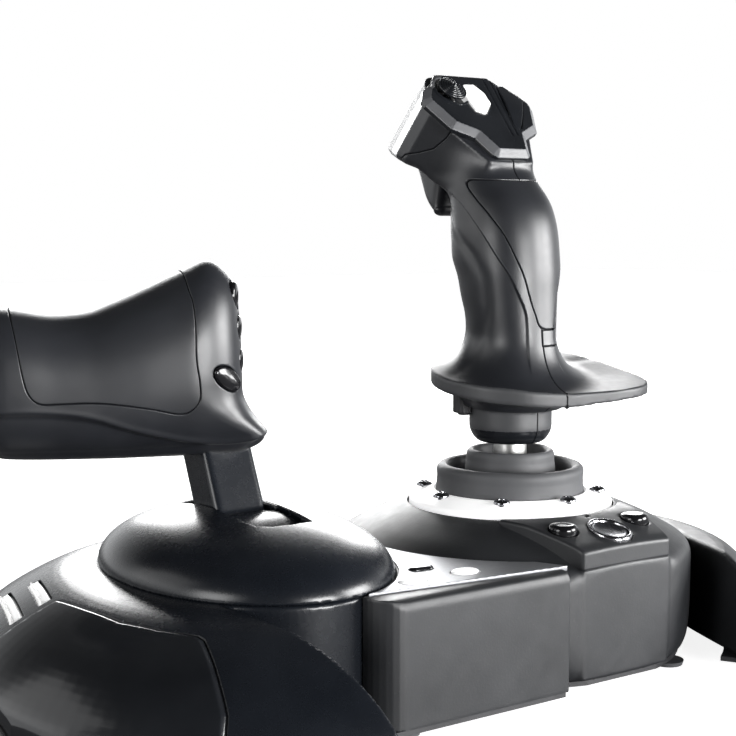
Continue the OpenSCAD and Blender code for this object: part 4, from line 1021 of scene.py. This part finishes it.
def make_base():
    CAV = [[-1, 6], [60, 6], [60, 44], [45, 56.0], [33, 59.6], [33, 90], [-1, 90]]

    def f(P):
        x, y, z = P[..., 0], P[..., 1], P[..., 2]
        r = np.hypot(x, y)
        d = smax(base_rev(P), -75.5 - y, 2.2)
        w = base_grid[1](r, z)
        w = smax(w, half_plane(x, y, -66), 4.0)
        w = smax(w, -half_plane(x, y, 78), 5.0)
        w = smax(w, -sd_poly(x, y, CLAW), 2.0)
        d = smin(d, w, 1.6)
        d = smin(d, np.maximum(rpoly(x, y, NOSE, 2.0), np.maximum(z - 50.5, 5 - z)), 1.2)
        return smax(d, -sd_poly(r, z, CAV), 0.5)

    V, Q = build(f, (-82, -112, 3), (120, 120, 66), 0.95)
    T = tris(Q)
    edge = lambda p: ext(sd_poly(p[:, 0], p[:, 1], NOSE), p[:, 2], 50.4, 90, 0)
    rim = lambda p: np.where(p[:, 2] > 60, np.hypot(p[:, 0], p[:, 1]) - 45.9, 9.0)
    V, T, seam_dirt_and_shade = seamed(V, T, [rim], 0.5, 0.5, 0.4, f, 1.0)
    piece("base_shell_skin", mesh_of("base_shell_skin", V, T, seam_dirt_and_shade=seam_dirt_and_shade), "base", "grain", ("base_shell",))

    def nose(P):
        x, y, z = P[..., 0], P[..., 1], P[..., 2]
        r = np.hypot(x, y)
        d = rpoly(x, y, NOSE, 2.0)
        d = smax(d, 47.7 - r, 0.8)
        d = smax(d, z - nose_top(y) + 0.0011 * x * x, 1.4)
        d = np.maximum(d, 50.6 - z)
        for cx in (-20.3, 20.3):
            q = np.hypot(x - cx, y + 58.2)
            d = smax(d, -np.maximum(q - 6.3, 52 - z), 0.7)
        q = np.hypot(x, y + 64.6)
        d = smax(d, -np.maximum(q - 9.45, 52 - z), 0.7)
        q = np.hypot(x, y + 50.4)
        return smax(d, -np.maximum(q - 1.35, 52 - z), 0.3)

    sdf_piece("nose_cover_skin", nose, (-37, -77, 49), (37, -29, 67), 0.5, "base", "grain", ("nose_cover",))

    ring = roundprof([(34.2, 65.0), (34.2, 70.9), (36.2, 71.1), (44.6, 67.5), (45.5, 66.5), (45.5, 63.6), (44.8, 63.4), (34.3, 63.8)], 0.5)
    piece("boot_ring_turned", lathe("boot_ring_turned", ring, 160), "base", "white", ("boot_ring",))

    def screw(P):
        x, y, z = P[..., 0], P[..., 1], P[..., 2] - 69.1
        r = np.hypot(x, y)
        ball = (np.sqrt((r / 3.6) ** 2 + (np.maximum(z, 0) / 1.95) ** 2) - 1) * 1.9
        d = np.maximum(ball, -z - 0.4)
        d = smin(d, np.maximum(r - 1.5, np.maximum(-z - 6, z)), 0.3)
        wide = 0.42 + 0.16 * np.clip(z - 0.2, 0, 2)
        cross = np.minimum(np.maximum(np.abs(x) - wide, np.abs(y) - 1.75 - 0.2 * z), np.maximum(np.abs(y) - wide, np.abs(x) - 1.75 - 0.2 * z))
        return smax(d, -np.maximum(cross, 0.35 - z), 0.12)

    V, Q = build(screw, (-3.8, -3.8, 62.5), (3.8, 3.8, 71.4), 0.17)
    for i in range(8):
        a, b = math.radians(45 * i), math.radians(45 * i + 20 + 37 * i)
        R = np.array([[math.cos(b), -math.sin(b), 0], [math.sin(b), math.cos(b), 0], [0, 0, 1]])
        W = V @ R.T + [38.9 * math.cos(a), 38.9 * math.sin(a), 1.75]
        piece(f"ring_screw_{i + 1}", mesh_of(f"ring_screw_{i + 1}", W, Q), "base", "chrome", ("ring_screws",) if i == 0 else ())

    # buttons on the nose, the large one lying along the slope of the cover
    def lean(V):
        V[:, 2] += (0.26 * V[:, 1] - 1.0) * sstep((V[:, 2] - 59) / 3)
        return V

    for name, x in (("menu_button", -20.3), ("view_button", 20.3)):
        prof = [(0, 57.7), (5.6, 57.7), (6.0, 58.1), (6.05, 64.2), (5.9, 65.1), (5.4, 65.8), (4.3, 66.2), (2.6, 66.3), (1.2, 66.15), (0, 66.1)]
        piece(name + "_cap", lathe(name + "_cap", prof, 72, (x, -58.2, 0), sharp=60), name, "piano", (name,))
    prof = [(0, 57.5), (7.5, 57.5), (7.7, 57.7), (7.7, 62.8), (7.5, 63.4), (7.0, 63.7), (6.3, 63.6), (5.6, 63.2), (3.0, 62.9), (0, 62.8)]
    piece("guide_button_cap", lathe("guide_button_cap", prof, 96, (0, -64.6, 0), sharp=60, wobble=lean), "guide_button", "disc", ("guide_button",))
    prof = [(7.9, 59.0), (9.3, 59.0), (9.35, 63.4), (9.25, 64.0), (8.95, 64.4), (8.6, 64.5), (8.25, 64.35), (8.0, 63.9), (7.9, 63.2)]
    piece("guide_ring_turned", lathe("guide_ring_turned", prof, 96, (0, -64.6, 0), sharp=60, wobble=lean), "base", "ringmetal", ("guide_ring",))
    prof = [(0, 59.2), (1.2, 59.2), (1.25, 64.4), (1.0, 64.9), (0.5, 65.1), (0, 65.15)]
    piece("status_lens_turned", lathe("status_lens_turned", prof, 32, (0, -50.4, 0), sharp=60), "base", "piano", ("status_lens",), slot="white_plastic")

    def plug(P):
        x, y, z = P[..., 0], P[..., 1], P[..., 2] - 24
        cable = np.maximum(np.hypot(x, z) - 2.2, np.abs(y - 92) - 24)
        rib = 0.45 * (np.sin((y - 86) * 2 * math.pi / 3.0) > 0)
        relief = np.maximum(np.hypot(x, z) - (3.9 - 0.06 * (y - 84)) + rib, np.abs(y - 93) - 9)
        neck = smax(np.hypot(x, z) - (2.6 + 0.5 * np.clip(y - 108, 0, 8)), np.abs(y - 111) - 4.5, 0.6)
        body = box3(P, (0, 126, 24), (8, 12, 4.5), 1.8)
        grip = smax(body, -(np.maximum(np.abs(y - 120 - 3.2 * np.round(np.clip((y - 120) / 3.2, 0, 3))) - 0.55, 4.0 - np.abs(z))), 0.2)
        return smin(smin(smin(cable, relief, 0.4), neck, 0.5), grip, 1.0)

    sdf_piece("usb_lead", plug, (-9, 64, 18), (9, 139, 30), 0.5, "base", "under", ("usb_cable",), slot="body_plastic")

    def tongue(P):
        x, y, z = P[..., 0], P[..., 1], P[..., 2] - 24
        d = box3(P, (0, 146.3, 24), (6, 9.2, 2.25), 0.35)
        d = smax(d, -np.maximum(np.maximum(np.abs(x) - 5.6, np.abs(z) - 1.85), 142 - y), 0.05)
        for s in (-1, 1):
            d = smax(d, -np.maximum(np.maximum(np.abs(x - s * 2.9) - 1.1, np.abs(y - 149) - 1.2), 1.2 - z), 0.05)
        tab = np.maximum(np.abs(x) - 5.5, np.maximum(np.abs(z + 0.8) - 0.7, np.abs(y - 148.5) - 6.4))
        return np.minimum(d, tab)

    sdf_piece("usb_plug_shell", tongue, (-7, 136, 21), (7, 156.5, 27), 0.3, "base", "ringmetal", slot="bright_screws")


# ---------------------------------------------------------------- boot
def make_boot():
    outer = roundprof([(33.6, 62.2), (34.15, 64.4), (34.05, 66.2), (33.7, 68.5), (33.0, 73), (32.75, 76.5), (33.0, 78.6), (32.9, 80.4), (31.9, 81.7), (30.4, 82.2), (28.9, 81.9), (27.8, 80.8), (27.3, 79.0), (27.0, 74.0), (26.6, 70.4), (25.4, 70.6), (25.6, 66.0), (27.2, 62.2)], 0.6, 2)

    def wob(V):
        a = np.arctan2(V[:, 1], V[:, 0])
        r = np.hypot(V[:, 0], V[:, 1])
        k = 1 + 0.0035 * np.sin(3 * a + V[:, 2] * 0.18) + 0.002 * np.sin(7 * a + 1.3) * sstep((V[:, 2] - 70) / 8)
        W = V.copy()
        W[:, 0] *= k
        W[:, 1] *= k
        W[:, 2] += 0.18 * np.sin(2 * a + 0.7) * sstep((V[:, 2] - 70) / 8)
        return W

    piece("boot_outer_fold", lathe("boot_outer_fold", outer, 160, sharp=70, wobble=wob), "base", "rubber", ("boot_outer",))
    inner = roundprof([(7.45, 77.2), (17.6, 77.2), (18.3, 75.4), (19.6, 75.2), (20.5, 76.2), (20.35, 79.5), (19.7, 84), (19.75, 86.4), (19.2, 88.0), (18.0, 88.8), (16.8, 88.5), (16.0, 87.5), (15.6, 84.5), (15.0, 81.2), (13.8, 80.2), (7.45, 79.8)], 0.5, 2)
    piece("boot_inner_fold", lathe("boot_inner_fold", inner, 144, sharp=70, wobble=wob), "shaft", "rubber", ("boot_inner",))
    # thin webs around the stick
    web1 = roundprof([(26.3, 71.6), (25.2, 68.8), (24.3, 66.8), (23.2, 66.4), (23.2, 65.2), (24.9, 65.4), (26.1, 67.6), (27.3, 71.2)], 0.3, 2)
    o = bpy.data.objects.new("boot_web_outer", lathe("boot_web_outer", web1, 144, sharp=70))
    bpy.context.scene.collection.objects.link(o)
    o.data.materials.append(MAT["rubber"])
    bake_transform(o)
    web2 = roundprof([(23.6, 65.3), (22.6, 66.0), (21.0, 70.0), (19.9, 75.6), (18.7, 75.6), (19.9, 69.6), (21.8, 64.8), (23.6, 64.2)], 0.3, 2)
    o = bpy.data.objects.new("boot_web_inner", lathe("boot_web_inner", web2, 144, sharp=70))
    bpy.context.scene.collection.objects.link(o)
    o.data.materials.append(MAT["rubber"])
    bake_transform(o)


# ---------------------------------------------------------------- link between the units
PANEL = [[-124, -67], [-33, -76], [-40, -62], [-74, -2]]
PBTN = [(-84.6, -47.1, 10.5, 5.0), (-99, -61.5, 11.5, 8.0), (-73.5, -60.7, 11.5, 8.0)]


def pill(x, y, b, g=0.0):
    c, s = math.cos(math.radians(-6)), math.sin(math.radians(-6))
    dx, dy = x - b[0], y - b[1]
    u, v = dx * c + dy * s, -dx * s + dy * c
    if b[2] > 11:
        return (np.sqrt((u / (b[2] / 2)) ** 2 + (v / (b[3] / 2)) ** 2 + 1e-9) - 1) * b[3] / 2 - g
    return np.hypot(np.maximum(np.abs(u) - (b[2] - b[3]) / 2, 0), v) - b[3] / 2 - g


def make_link():
    LK = [*[[-113 - 13 * math.cos(a) , -67.3 - 13 * math.sin(a)] for a in np.linspace(0, math.pi / 2, 9)], [-35.7, -80.3], [-35.7, -50], [-70, 3], [-90, 12], [-126, -40]]
    LT = [*[[-113 - 13 * math.cos(a) , -67.3 - 13 * math.sin(a)] for a in np.linspace(0, math.pi / 2, 9)], [-35.7, -80.3], [-35.7, -62], [-70.5, -24], [-76, -1], [-90, 12], [-126, -40]]

    def f(P):
        x, y, z = P[..., 0], P[..., 1], P[..., 2]
        r = np.hypot(x, y)
        e = ell_d(x, y)
        low = np.maximum(sd_poly(x, y, LK), 81 - r)
        low = np.maximum(np.maximum(low, z - 52), 4.1 - z)
        top = np.maximum(np.maximum(sd_poly(x, y, LT), z - 53.2), 50.4 - z)
        d = np.minimum(low, top)
        d = smax(d, -80.3 - y, 0.5)
        d = smax(d, 53.2 - 53.2 + (z - 53.2), 0.3)
        front = ((-80.3 - y) + (z - 53.2) + 1.9) * 0.7071
        d = smax(d, front, 2.2)
        side = ((x + 35.7) + (z - 53.2) + 0.6) * 0.7071
        d = smax(d, side, 0.5)
        d = np.maximum(d, 0.4 - e)
        d = np.maximum(d, -(base_rev(P) - 0.3))
        nose = np.maximum(sd_poly(x, y, NOSE) - 0.35, 50.0 - z)
        d = np.maximum(d, -nose)
        for b in PBTN:
            d = np.maximum(d, -np.maximum(pill(x, y, b, 0.25), 47 - z))
        return d

    V, Q = build(f, (-128, -82, 3), (-33, 14, 55), 0.62)
    V = np.where(np.abs(V) < 1e9, V, 0)
    piece("link_housing_skin", mesh_of("link_housing_skin", V, Q, sharp=50), "base", "grain", ("link_housing",))

    def panel(P):
        x, y, z = P[..., 0], P[..., 1], P[..., 2]
        d = rpoly(x, y, PANEL, 0.6)
        d = np.maximum(d, 1.1 - ell_d(x, y))
        d = np.maximum(d, 74.3 - np.hypot(x, y))
        for b in PBTN:
            d = np.maximum(d, -pill(x, y, b, 0.22))
        return ext(d, z, 52.0, 54.05, 0.3)

    V, Q = build(panel, (-125, -77, 51.5), (-32, 0, 55), 0.42)
    piece("link_panel_skin", mesh_of("link_panel_skin", V, Q, sharp=50), "base", "silver", ("link_panel",))
    for b, n, m in zip(PBTN, ("mode_button", "oval_button_left", "oval_button_right"), ("piano", "button_white", "button_white")):
        def cap(P, b=b):
            x, y, z = P[..., 0], P[..., 1], P[..., 2]
            d = pill(x, y, b)
            return smax(smax(d, z - 55.25 + 0.35 * np.clip(1 + d / (b[3] / 2), 0, 1) ** 2, 0.9), 48.4 - z, 0.2)

        sdf_piece(n + "_cap", cap, (b[0] - 7, b[1] - 6, 48), (b[0] + 7, b[1] + 6, 55.6), 0.32, n, m, (n,))


# ---------------------------------------------------------------- throttle base
PLATE = [(-211.5, 10.8), (-208.8, -10), (-205.0, -31.6), (-198.0, -48), (-190.4, -60.6), (-189.8, -64), (-192.3, -75), (-197.5, -94), (-204.5, -104), (-222, -92), (-238, -62), (-247.2, -30), (-249.2, 4), (-247.5, 16.5), (-231.8, 14.3)]
SLOTS = [[(-209.4, 47.8), (-205.2, 46.4), (-212.1, 16.6), (-217.0, 17.3)], [(-218.4, 57.6), (-214.2, 55.8), (-223.2, 17.6), (-228.0, 18.8)]]


def make_throttle_base():
    def f(P):
        d = throttle_base_field(P)
        x, y = P[..., 0], P[..., 1]
        d = smax(d, 80.9 - np.hypot(x, y), 0.4)
        link = np.maximum(np.maximum(-80.8 - y, -126.6 - x), ell_d(x, y) * 0 + x + 34)
        return d

    V, Q = build(f, (-262, -142, 3), (-76, 142, 55), 1.0)
    T = tris(Q)
    top = lambda p: p[:, 2] > 6.5
    plate = lambda p: np.where(top(p), rpoly(p[:, 0], p[:, 1], PLATE, 2.0), 9.0)
    slot = lambda p: np.where(p[:, 2] > 20, np.minimum(rpoly(p[:, 0], p[:, 1], SLOTS[0], 0.5), rpoly(p[:, 0], p[:, 1], SLOTS[1], 0.5)), 9.0)
    V, T = refine(V, T, lambda p: (np.abs(plate(p)) < 2.2) | (np.abs(slot(p)) < 1.4), 0.42)
    V = project(f, V, 1)
    N = vnormals(V, T)
    a, b = plate(V), slot(V)
    lift = 1.15 * sstep((-a - 0.15) / 1.9) - 0.55 * sstep(1 - np.abs(a) / 0.7)
    sink = -1.3 * sstep(0.5 + (0.10 - b) / 0.5)
    V = V + N * (lift + sink)[:, None]
    # seam strength along the plate edge and the slot edges, painted dark as shade and grime
    seam_dirt_and_shade = np.maximum(sstep(1 - np.abs(a) / 0.5), sstep(1 - np.abs(b) / 0.55))
    V, Ts, T, seam_dirt_and_shade = split_save(V, T, seam_dirt_and_shade, slot(V))
    V, Tp, T, seam_dirt_and_shade = split_save(V, T, seam_dirt_and_shade, plate(V))
    # inlays stand in their pockets
    u, inv = np.unique(Ts, return_inverse=True)
    S, Fs = V[u], inv.reshape(Ts.shape)
    Ns = vnormals(S, Fs)
    bs = slot(S)
    S2 = S + Ns * (1.35 * sstep((-bs - 0.05) / 0.35))[:, None]
    W, F = thicken(S2, Fs, 1.2)
    piece("slot_inlay_strips", mesh_of("slot_inlay_strips", W, F), "base", "button_white", ("slot_inlays",), slot="silver_plastic")
    piece("front_plate_skin", solid("front_plate_skin", V, Tp, seam_dirt_and_shade, 1.6), "base", "gloss", ("front_plate",))
    piece("throttle_base_skin", solid("throttle_base_skin", V, T, seam_dirt_and_shade, 2.4), "base", "dome", ("throttle_base_shell",))

    # dome with its slot
    def g(P):
        return np.maximum(dome_d(P), 53.15 - P[..., 2])

    V, Q = build(g, (-192, -70, 52), (-78, 79, 79), 0.8)
    T = tris(Q)
    SL = [(-147.2, -18), (-145.6, -24.5), (-141, -27.6), (-133, -28.4), (-122.6, -26.4), (-122.8, 34.6), (-147.2, 34.6)]
    s = lambda p: np.where(p[:, 2] > 60, sd_poly(p[:, 0], p[:, 1], SL), 9.0)
    V, T = refine(V, T, lambda p: np.abs(s(p)) < 1.6, 0.4)
    V = project(g, V, 2)
    N = vnormals(V, T)
    V = V - N * (0.45 * sstep(1 - np.abs(s(V)) / 0.8))[:, None]
    V, Tin, T = cut(V, T, s(V))
    keep = V[:, 2][T].min(1) > 53.4
    top = T
    V, T = compact(V, top)
    # drop the flat underside so that the dome is a shell
    low = (V[:, 2] < 53.35)
    T = T[~low[T].all(1)]
    W, F = thicken(*compact(V, T), 2.4)
    piece("throttle_dome_skin", mesh_of("throttle_dome_skin", W, F), "base", "dome", ("throttle_dome",))

    # arm with its dust cover
    A = math.radians(-25)
    ca, sa = math.cos(A), math.sin(A)

    def arm(P):
        x, y, z = P[..., 0] + 135, P[..., 1] + 4, P[..., 2] - 30
        yy, zz = y * ca - z * -sa, y * -sa + z * ca
        yy, zz = y * math.cos(math.radians(25)) - z * math.sin(math.radians(25)), y * math.sin(math.radians(25)) + z * math.cos(math.radians(25))
        q = np.stack([x, yy, zz - 53], -1)
        bar = box3(q, (0, 0, 0), (11.5, 10, 49), 3.0)
        hub = np.maximum(np.hypot(y, z) - 11, np.abs(x) - 13)
        rr = np.hypot(yy, zz)
        ang = np.degrees(np.arctan2(yy, zz))
        cover = np.maximum(np.maximum(np.abs(rr - 43.2) - 1.0, np.abs(x) - 13.4), (np.abs(ang) - 66) * 0.7)
        d = smin(bar, hub, 3.0)
        d = smin(d, cover, 2.0)
        return np.maximum(d, 4.1 - np.hypot(y, z))

    sdf_piece("throttle_arm_skin", arm, (-150, -52, 14), (-120, 50, 126), 0.7, "throttle", "dome", ("throttle_arm",))


# ---------------------------------------------------------------- throttle handle
HPAD = [(41, 196), (37.2, 178), (35, 170.2), (34.1, 164.2), (32.8, 158.6), (32.3, 149.9), (32.3, 137.3), (31, 127.6), (31, 120.8), (34.5, 116.6), (39.5, 115.6), (49.2, 117.8), (62.2, 120), (72.3, 121), (83.3, 121), (91.5, 121.2), (95.6, 124.6), (97.7, 131), (100, 144.8), (102.2, 155.8), (104.4, 164), (107, 196)]
hpad_poly = spline(HPAD, 4, True)
RIDGE = curve([[-4, 105.4], [3, 105.2], [10, 103.4], [18, 102.5], [26, 102.9], [34, 104.1], [45, 106.6], [60, 111], [71, 115.0], [84, 117.4], [100, 118.4], [130, 118.6]], 2.0)
BTN = [(14.0, 10.4, 160.7, 11.0, 8.0, 22), (12.8, 11.2, 148.1, 9.6, 7.6, 22), (12.1, 11.0, 135.0, 9.0, 7.4, 22), (19.1, 22.2, 128.6, 9.4, 11.5, 55)]


def btn_local(P, b):
    """Coordinates of a handle button: out of the surface, sideways, up."""
    l, m, z = hnd_lmz(P)
    a = math.radians(b[5])
    dl, dm = l - b[0], m - b[1]
    return -dl * math.cos(a) + dm * math.sin(a), dl * math.sin(a) + dm * math.cos(a), z - b[2]


def oval2(s, z, b, g=0.0):
    a, c = b[4] / 2 + g, b[3] / 2 + g
    if b[5] > 50:
        t = math.radians(30)
        s, z = s * math.cos(t) + z * math.sin(t), z * math.cos(t) - s * math.sin(t)
        a, c = 7.6 + g, 4.1 + g
    q = np.sqrt((s / a) ** 2 + (z / c) ** 2 + 1e-9)
    gr = np.sqrt((s / a ** 2) ** 2 + (z / c ** 2) ** 2) / q + 1e-9
    return np.clip((q - 1) / gr, -min(a, c), 40)


def make_handle():
    def f(P):
        d = handle_field(P)
        for b in BTN:
            n, s, z = btn_local(P, b)
            d = smax(d, -np.maximum(oval2(s, z, b, 0.35), -2.6 - n), 0.4)
        l, m, z = hnd_lmz(P)
        d = smax(d, -ext(np.maximum(np.abs(l - 65) - 31, np.abs(z - 131) - 7.4), m, -60, -27.8), 1.0)
        return d

    V, Q = build(f, (-252, -20, 93), (-100, 92, 180), 0.95)
    T = tris(Q)
    l, m, z = hnd_lmz(V)
    rz = RIDGE(l)
    V, T = refine(V, T, lambda p: (lambda q: (np.abs(q[2] - RIDGE(q[0])) < 2.6) & (q[1] > 2) | (np.min([np.abs(oval2(*btn_local(p, b)[1:], b)) + 3 * (np.abs(btn_local(p, b)[0]) > 3.5) for b in BTN], 0) < 1.3))(hnd_lmz(p)), 0.55)
    V = project(f, V, 2)
    N = vnormals(V, T)
    l, m, z = hnd_lmz(V)
    side = sstep((m - 1) / 7)
    dz = z - RIDGE(l)
    under = -2.3 * sstep(-dz / 3.2) * sstep((z - 95.8) / 3.5)
    crest = 0.55 * np.exp(-((dz / 1.5) ** 2))
    fade = 0.35 + 0.65 * sstep((70 - l) / 40)
    V = V + N * (side * (under * (0.6 + 0.4 * fade) + crest * fade))[:, None]
    pad = lambda p: (lambda q: smax(sd_poly(q[0], q[2], hpad_poly), -10 - q[1], 3.0))(hnd_lmz(p))
    half = lambda p: (lambda q: np.where((q[2] > 140) & (np.abs(q[0] - 68) < 40), 9.0, q[1]))(hnd_lmz(p))
    lower = lambda p: (lambda q: np.where((q[1] > 0) & (q[0] > 14), q[2] - (98.3 + 0.00022 * (q[0] - 62) ** 2 * 0), 9.0))(hnd_lmz(p))
    V, T, seam_dirt_and_shade = seamed(V, T, [pad, half])
    V, Tp, T, seam_dirt_and_shade = split_save(V, T, seam_dirt_and_shade, pad(V))
    V, Tf, Tr, seam_dirt_and_shade = split_save(V, T, seam_dirt_and_shade, hnd_lmz(V)[1])
    piece("handle_pad_skin", solid("handle_pad_skin", V, Tp, seam_dirt_and_shade, 0.9), "throttle", "soft", ("handle_pad",))
    piece("handle_rear_skin", solid("handle_rear_skin", V, Tr, seam_dirt_and_shade, 1.0), "throttle", "body", ("handle_rear",))
    piece("handle_front_skin", solid("handle_front_skin", V, Tf, seam_dirt_and_shade, 1.0), "throttle", "body", ("handle_front",))
    for b, name in zip(BTN, ("thumb_button_upper", "thumb_button_middle", "thumb_button_lower", "handle_side_button")):
        c = hnd_xyz(*[np.array(float(v)) for v in b[:3]])

        def cap(P, b=b):
            n, s, z = btn_local(P, b)
            d = oval2(s, z, b)
            top = n - 0.75 + 0.8 * np.clip(1 + d / 4.0, 0, 1) ** 2
            if b[5] > 50:
                top = n - 0.9 + 0.7 * np.clip(1 + d / 4.1, 0, 1) ** 2
            return smax(smax(d, top, 0.9), -6.0 - n, 0.3)

        sdf_piece(name + "_cap", cap, c - 9, c + 9, 0.34, name, "piano", (name,))

    def rocker(P):
        l, m, z = hnd_lmz(P)
        q = np.stack([l - 65, m + 33.3 + 0.0022 * (l - 65) ** 2, z - 131], -1)
        d = box3(q, (0, 0, 0), (27, 1.9, 4.8), 1.5)
        d = smin(d, box3(np.stack([l - 65, m + 28.2, z - 131], -1), (0, 0, 0), (3.4, 4.4, 4.8), 1.0), 1.2)
        d = np.minimum(d, np.maximum(np.hypot(l - 65, m + 26.8) - 1.8, np.abs(z - 131) - 6.8))
        return smax(d, -np.maximum(np.abs(np.abs(l - 65) - 17) - 0.0 - 5.5, np.abs(q[..., 1] + 2.1) - 0.5 + 0.02 * q[..., 2] ** 2), 0.4)

    c = hnd_xyz(np.array(65.0), np.array(-30.0), np.array(131.0))
    sdf_piece("rocker_paddle_skin", rocker, c - [30, 16, 8], c + [30, 16, 8], 0.5, "rocker_paddle", "under", ("rocker_paddle",))


def make_lock():
    cx, cy = 21.2 * math.cos(math.radians(150)), 21.2 * math.sin(math.radians(150))

    def f(P):
        x, y, z = P[..., 0] - cx, P[..., 1] - cy, P[..., 2]
        a = np.arctan2(y, x)
        r = np.hypot(x, y)
        d = smax(r - 4.8 + 0.10 * np.cos(a * 18), np.abs(z - 109.2) - 4.2, 0.9)
        return smin(d, np.maximum(r - 2.6, np.abs(z - 105) - 1.0), 0.3)

    sdf_piece("twist_lock_knob", f, (cx - 6, cy - 6, 103), (cx + 6, cy + 6, 114.5), 0.33, "twist_lock", "under", ("twist_lock",))


make_grip()
make_head()
make_base()
make_boot()
make_link()
make_throttle_base()
make_handle()
make_lock()

KEEP = {"body_plastic": "body", "soft_touch": "soft", "under_plastic": "under", "gloss_black": "gloss", "ring_white": "white", "boot_rubber": "rubber", "bright_screws": "chrome",
    "plain_steel": "steel", "ballast_iron": "iron", "silver_plastic": "silver", "white_plastic": "button_white", "board_green": "board", "sensor_blue": "blue", "bronze": "bronze"}
for sp in frame["record"]["subparts"]:
    o = frame["nodes"][sp["node"]]
    m = MAT[KEEP[sp["material_slot"]]]
    if not o.material_slots:
        o.data.materials.append(m)
    for s in o.material_slots:
        s.material = m

# ---------------------------------------------------------------- stage, light and camera
bm = bmesh.new()
bmesh.ops.create_grid(bm, x_segments=4, y_segments=4, size=4.0)
fl = bpy.data.meshes.new("floor")
bm.to_mesh(fl)
bm.free()
floor = bpy.data.objects.new("floor", fl)
bpy.context.scene.collection.objects.link(floor)
k = Nodes("pale_floor")
k.link(k.mixc(k.ramp(k.noise(3.0).outputs["Fac"], 0.0, 1.0), (0.80, 0.80, 0.80), (0.83, 0.83, 0.83)), k.b.inputs["Base Color"])
k.b.inputs["Roughness"].default_value = 0.75
k.b.inputs["Emission Color"].default_value = (1, 1, 1, 1)
k.b.inputs["Emission Strength"].default_value = 0.86
dull = k.add("ShaderNodeBsdfDiffuse")
dull.inputs[0].default_value = (0.22, 0.22, 0.225, 1)
ray, mix, end = k.add("ShaderNodeLightPath"), k.add("ShaderNodeMixShader"), next(n for n in k.t.nodes if n.type == "OUTPUT_MATERIAL")
k.link(ray.outputs["Is Camera Ray"], mix.inputs[0])
k.link(dull.outputs[0], mix.inputs[1])
k.link(k.b.outputs[0], mix.inputs[2])
k.link(mix.outputs[0], end.inputs[0])
fl.materials.append(k.m)

w = bpy.data.worlds.new("studio")
bpy.context.scene.world = w
w.use_nodes = True
nt = w.node_tree
nt.nodes.clear()
out = nt.nodes.new("ShaderNodeOutputWorld")
tc = nt.nodes.new("ShaderNodeTexCoord")
VIEW = Vector((0.5624, 0.8208, -0.0993)).normalized()


def facing(v, a, b, lo, hi):
    """World brightness from lo to hi as the direction turns towards v."""
    d, r = nt.nodes.new("ShaderNodeVectorMath"), nt.nodes.new("ShaderNodeMapRange")
    d.operation, r.interpolation_type = "DOT_PRODUCT", "SMOOTHSTEP"
    d.inputs[1].default_value = v
    nt.links.new(tc.outputs["Generated"], d.inputs[0])
    for key, x in (("From Min", a), ("From Max", b), ("To Min", lo), ("To Max", hi)):
        r.inputs[key].default_value = x
    nt.links.new(d.outputs["Value"], r.inputs["Value"])
    return r.outputs["Result"]


def calc(op, a, b):
    n = nt.nodes.new("ShaderNodeMath")
    n.operation = op
    for s, x in zip(n.inputs, (a, b)):
        if isinstance(x, float):
            s.default_value = x
        else:
            nt.links.new(x, s)
    return n.outputs[0]


glow = calc("MAXIMUM", facing((VIEW.x, VIEW.y, 0.0), 0.0, 0.85, 0.0, 1.45), facing((-0.8249, 0.5652, 0.0), 0.35, 0.98, 0.0, 1.25))
glow = calc("ADD", calc("MULTIPLY", glow, facing((0, 0, 1), 0.08, 0.55, 1.0, 0.05)), 0.03)
bg = nt.nodes.new("ShaderNodeBackground")
bg.inputs["Color"].default_value = (0.97, 0.985, 1.0, 1)
nt.links.new(glow, bg.inputs["Strength"])
cam_bg = nt.nodes.new("ShaderNodeBackground")
cam_bg.inputs["Color"].default_value = (1, 1, 1, 1)
lp = nt.nodes.new("ShaderNodeLightPath")
mx = nt.nodes.new("ShaderNodeMixShader")
nt.links.new(lp.outputs["Is Camera Ray"], mx.inputs["Fac"])
nt.links.new(bg.outputs["Background"], mx.inputs[1])
nt.links.new(cam_bg.outputs["Background"], mx.inputs[2])
nt.links.new(mx.outputs["Shader"], out.inputs["Surface"])
bpy.context.scene.view_settings.view_transform = "Standard"


def area(name, loc, target, size, power, size_y=None):
    L = bpy.data.lights.new(name, "AREA")
    L.energy = power
    L.shape = "RECTANGLE"
    L.size, L.size_y = size, size_y or size
    o = bpy.data.objects.new(name, L)
    bpy.context.scene.collection.objects.link(o)
    o.location = loc
    o.rotation_euler = (Vector(target) - Vector(loc)).to_track_quat("-Z", "Y").to_euler()
    return o


area("behind", (0.8, 1.4, 0.6), (-0.02, 0.0, 0.12), 1.2, 26, 0.6)
area("back_left", (-1.3, 0.8, 0.75), (-0.06, 0.0, 0.1), 1.0, 3, 0.9)
area("front_right", (1.05, -0.95, 0.34), (-0.02, 0.0, 0.12), 0.8, 36, 0.6)
area("front_card", (0.12, -1.5, 0.14), (-0.03, 0.0, 0.12), 0.7, 34, 0.42)
area("left_card", (-1.5, -0.25, 0.35), (-0.1, 0.0, 0.1), 0.6, 7, 0.6)

cam = bpy.data.cameras.new("camera")
cam.sensor_width = 36.0
cam.lens = 70.48
cam.clip_start, cam.clip_end = 0.02, 20
co = bpy.data.objects.new("camera", cam)
bpy.context.scene.collection.objects.link(co)
co.location = (-0.4163, -0.4942, 0.1890)
R = Vector((0.8249, -0.5652, 0.0)).normalized()
U = R.cross(VIEW)
co.matrix_world = Matrix.Translation(co.location) @ Matrix((R, U, -VIEW)).transposed().to_4x4()
bpy.context.scene.camera = co
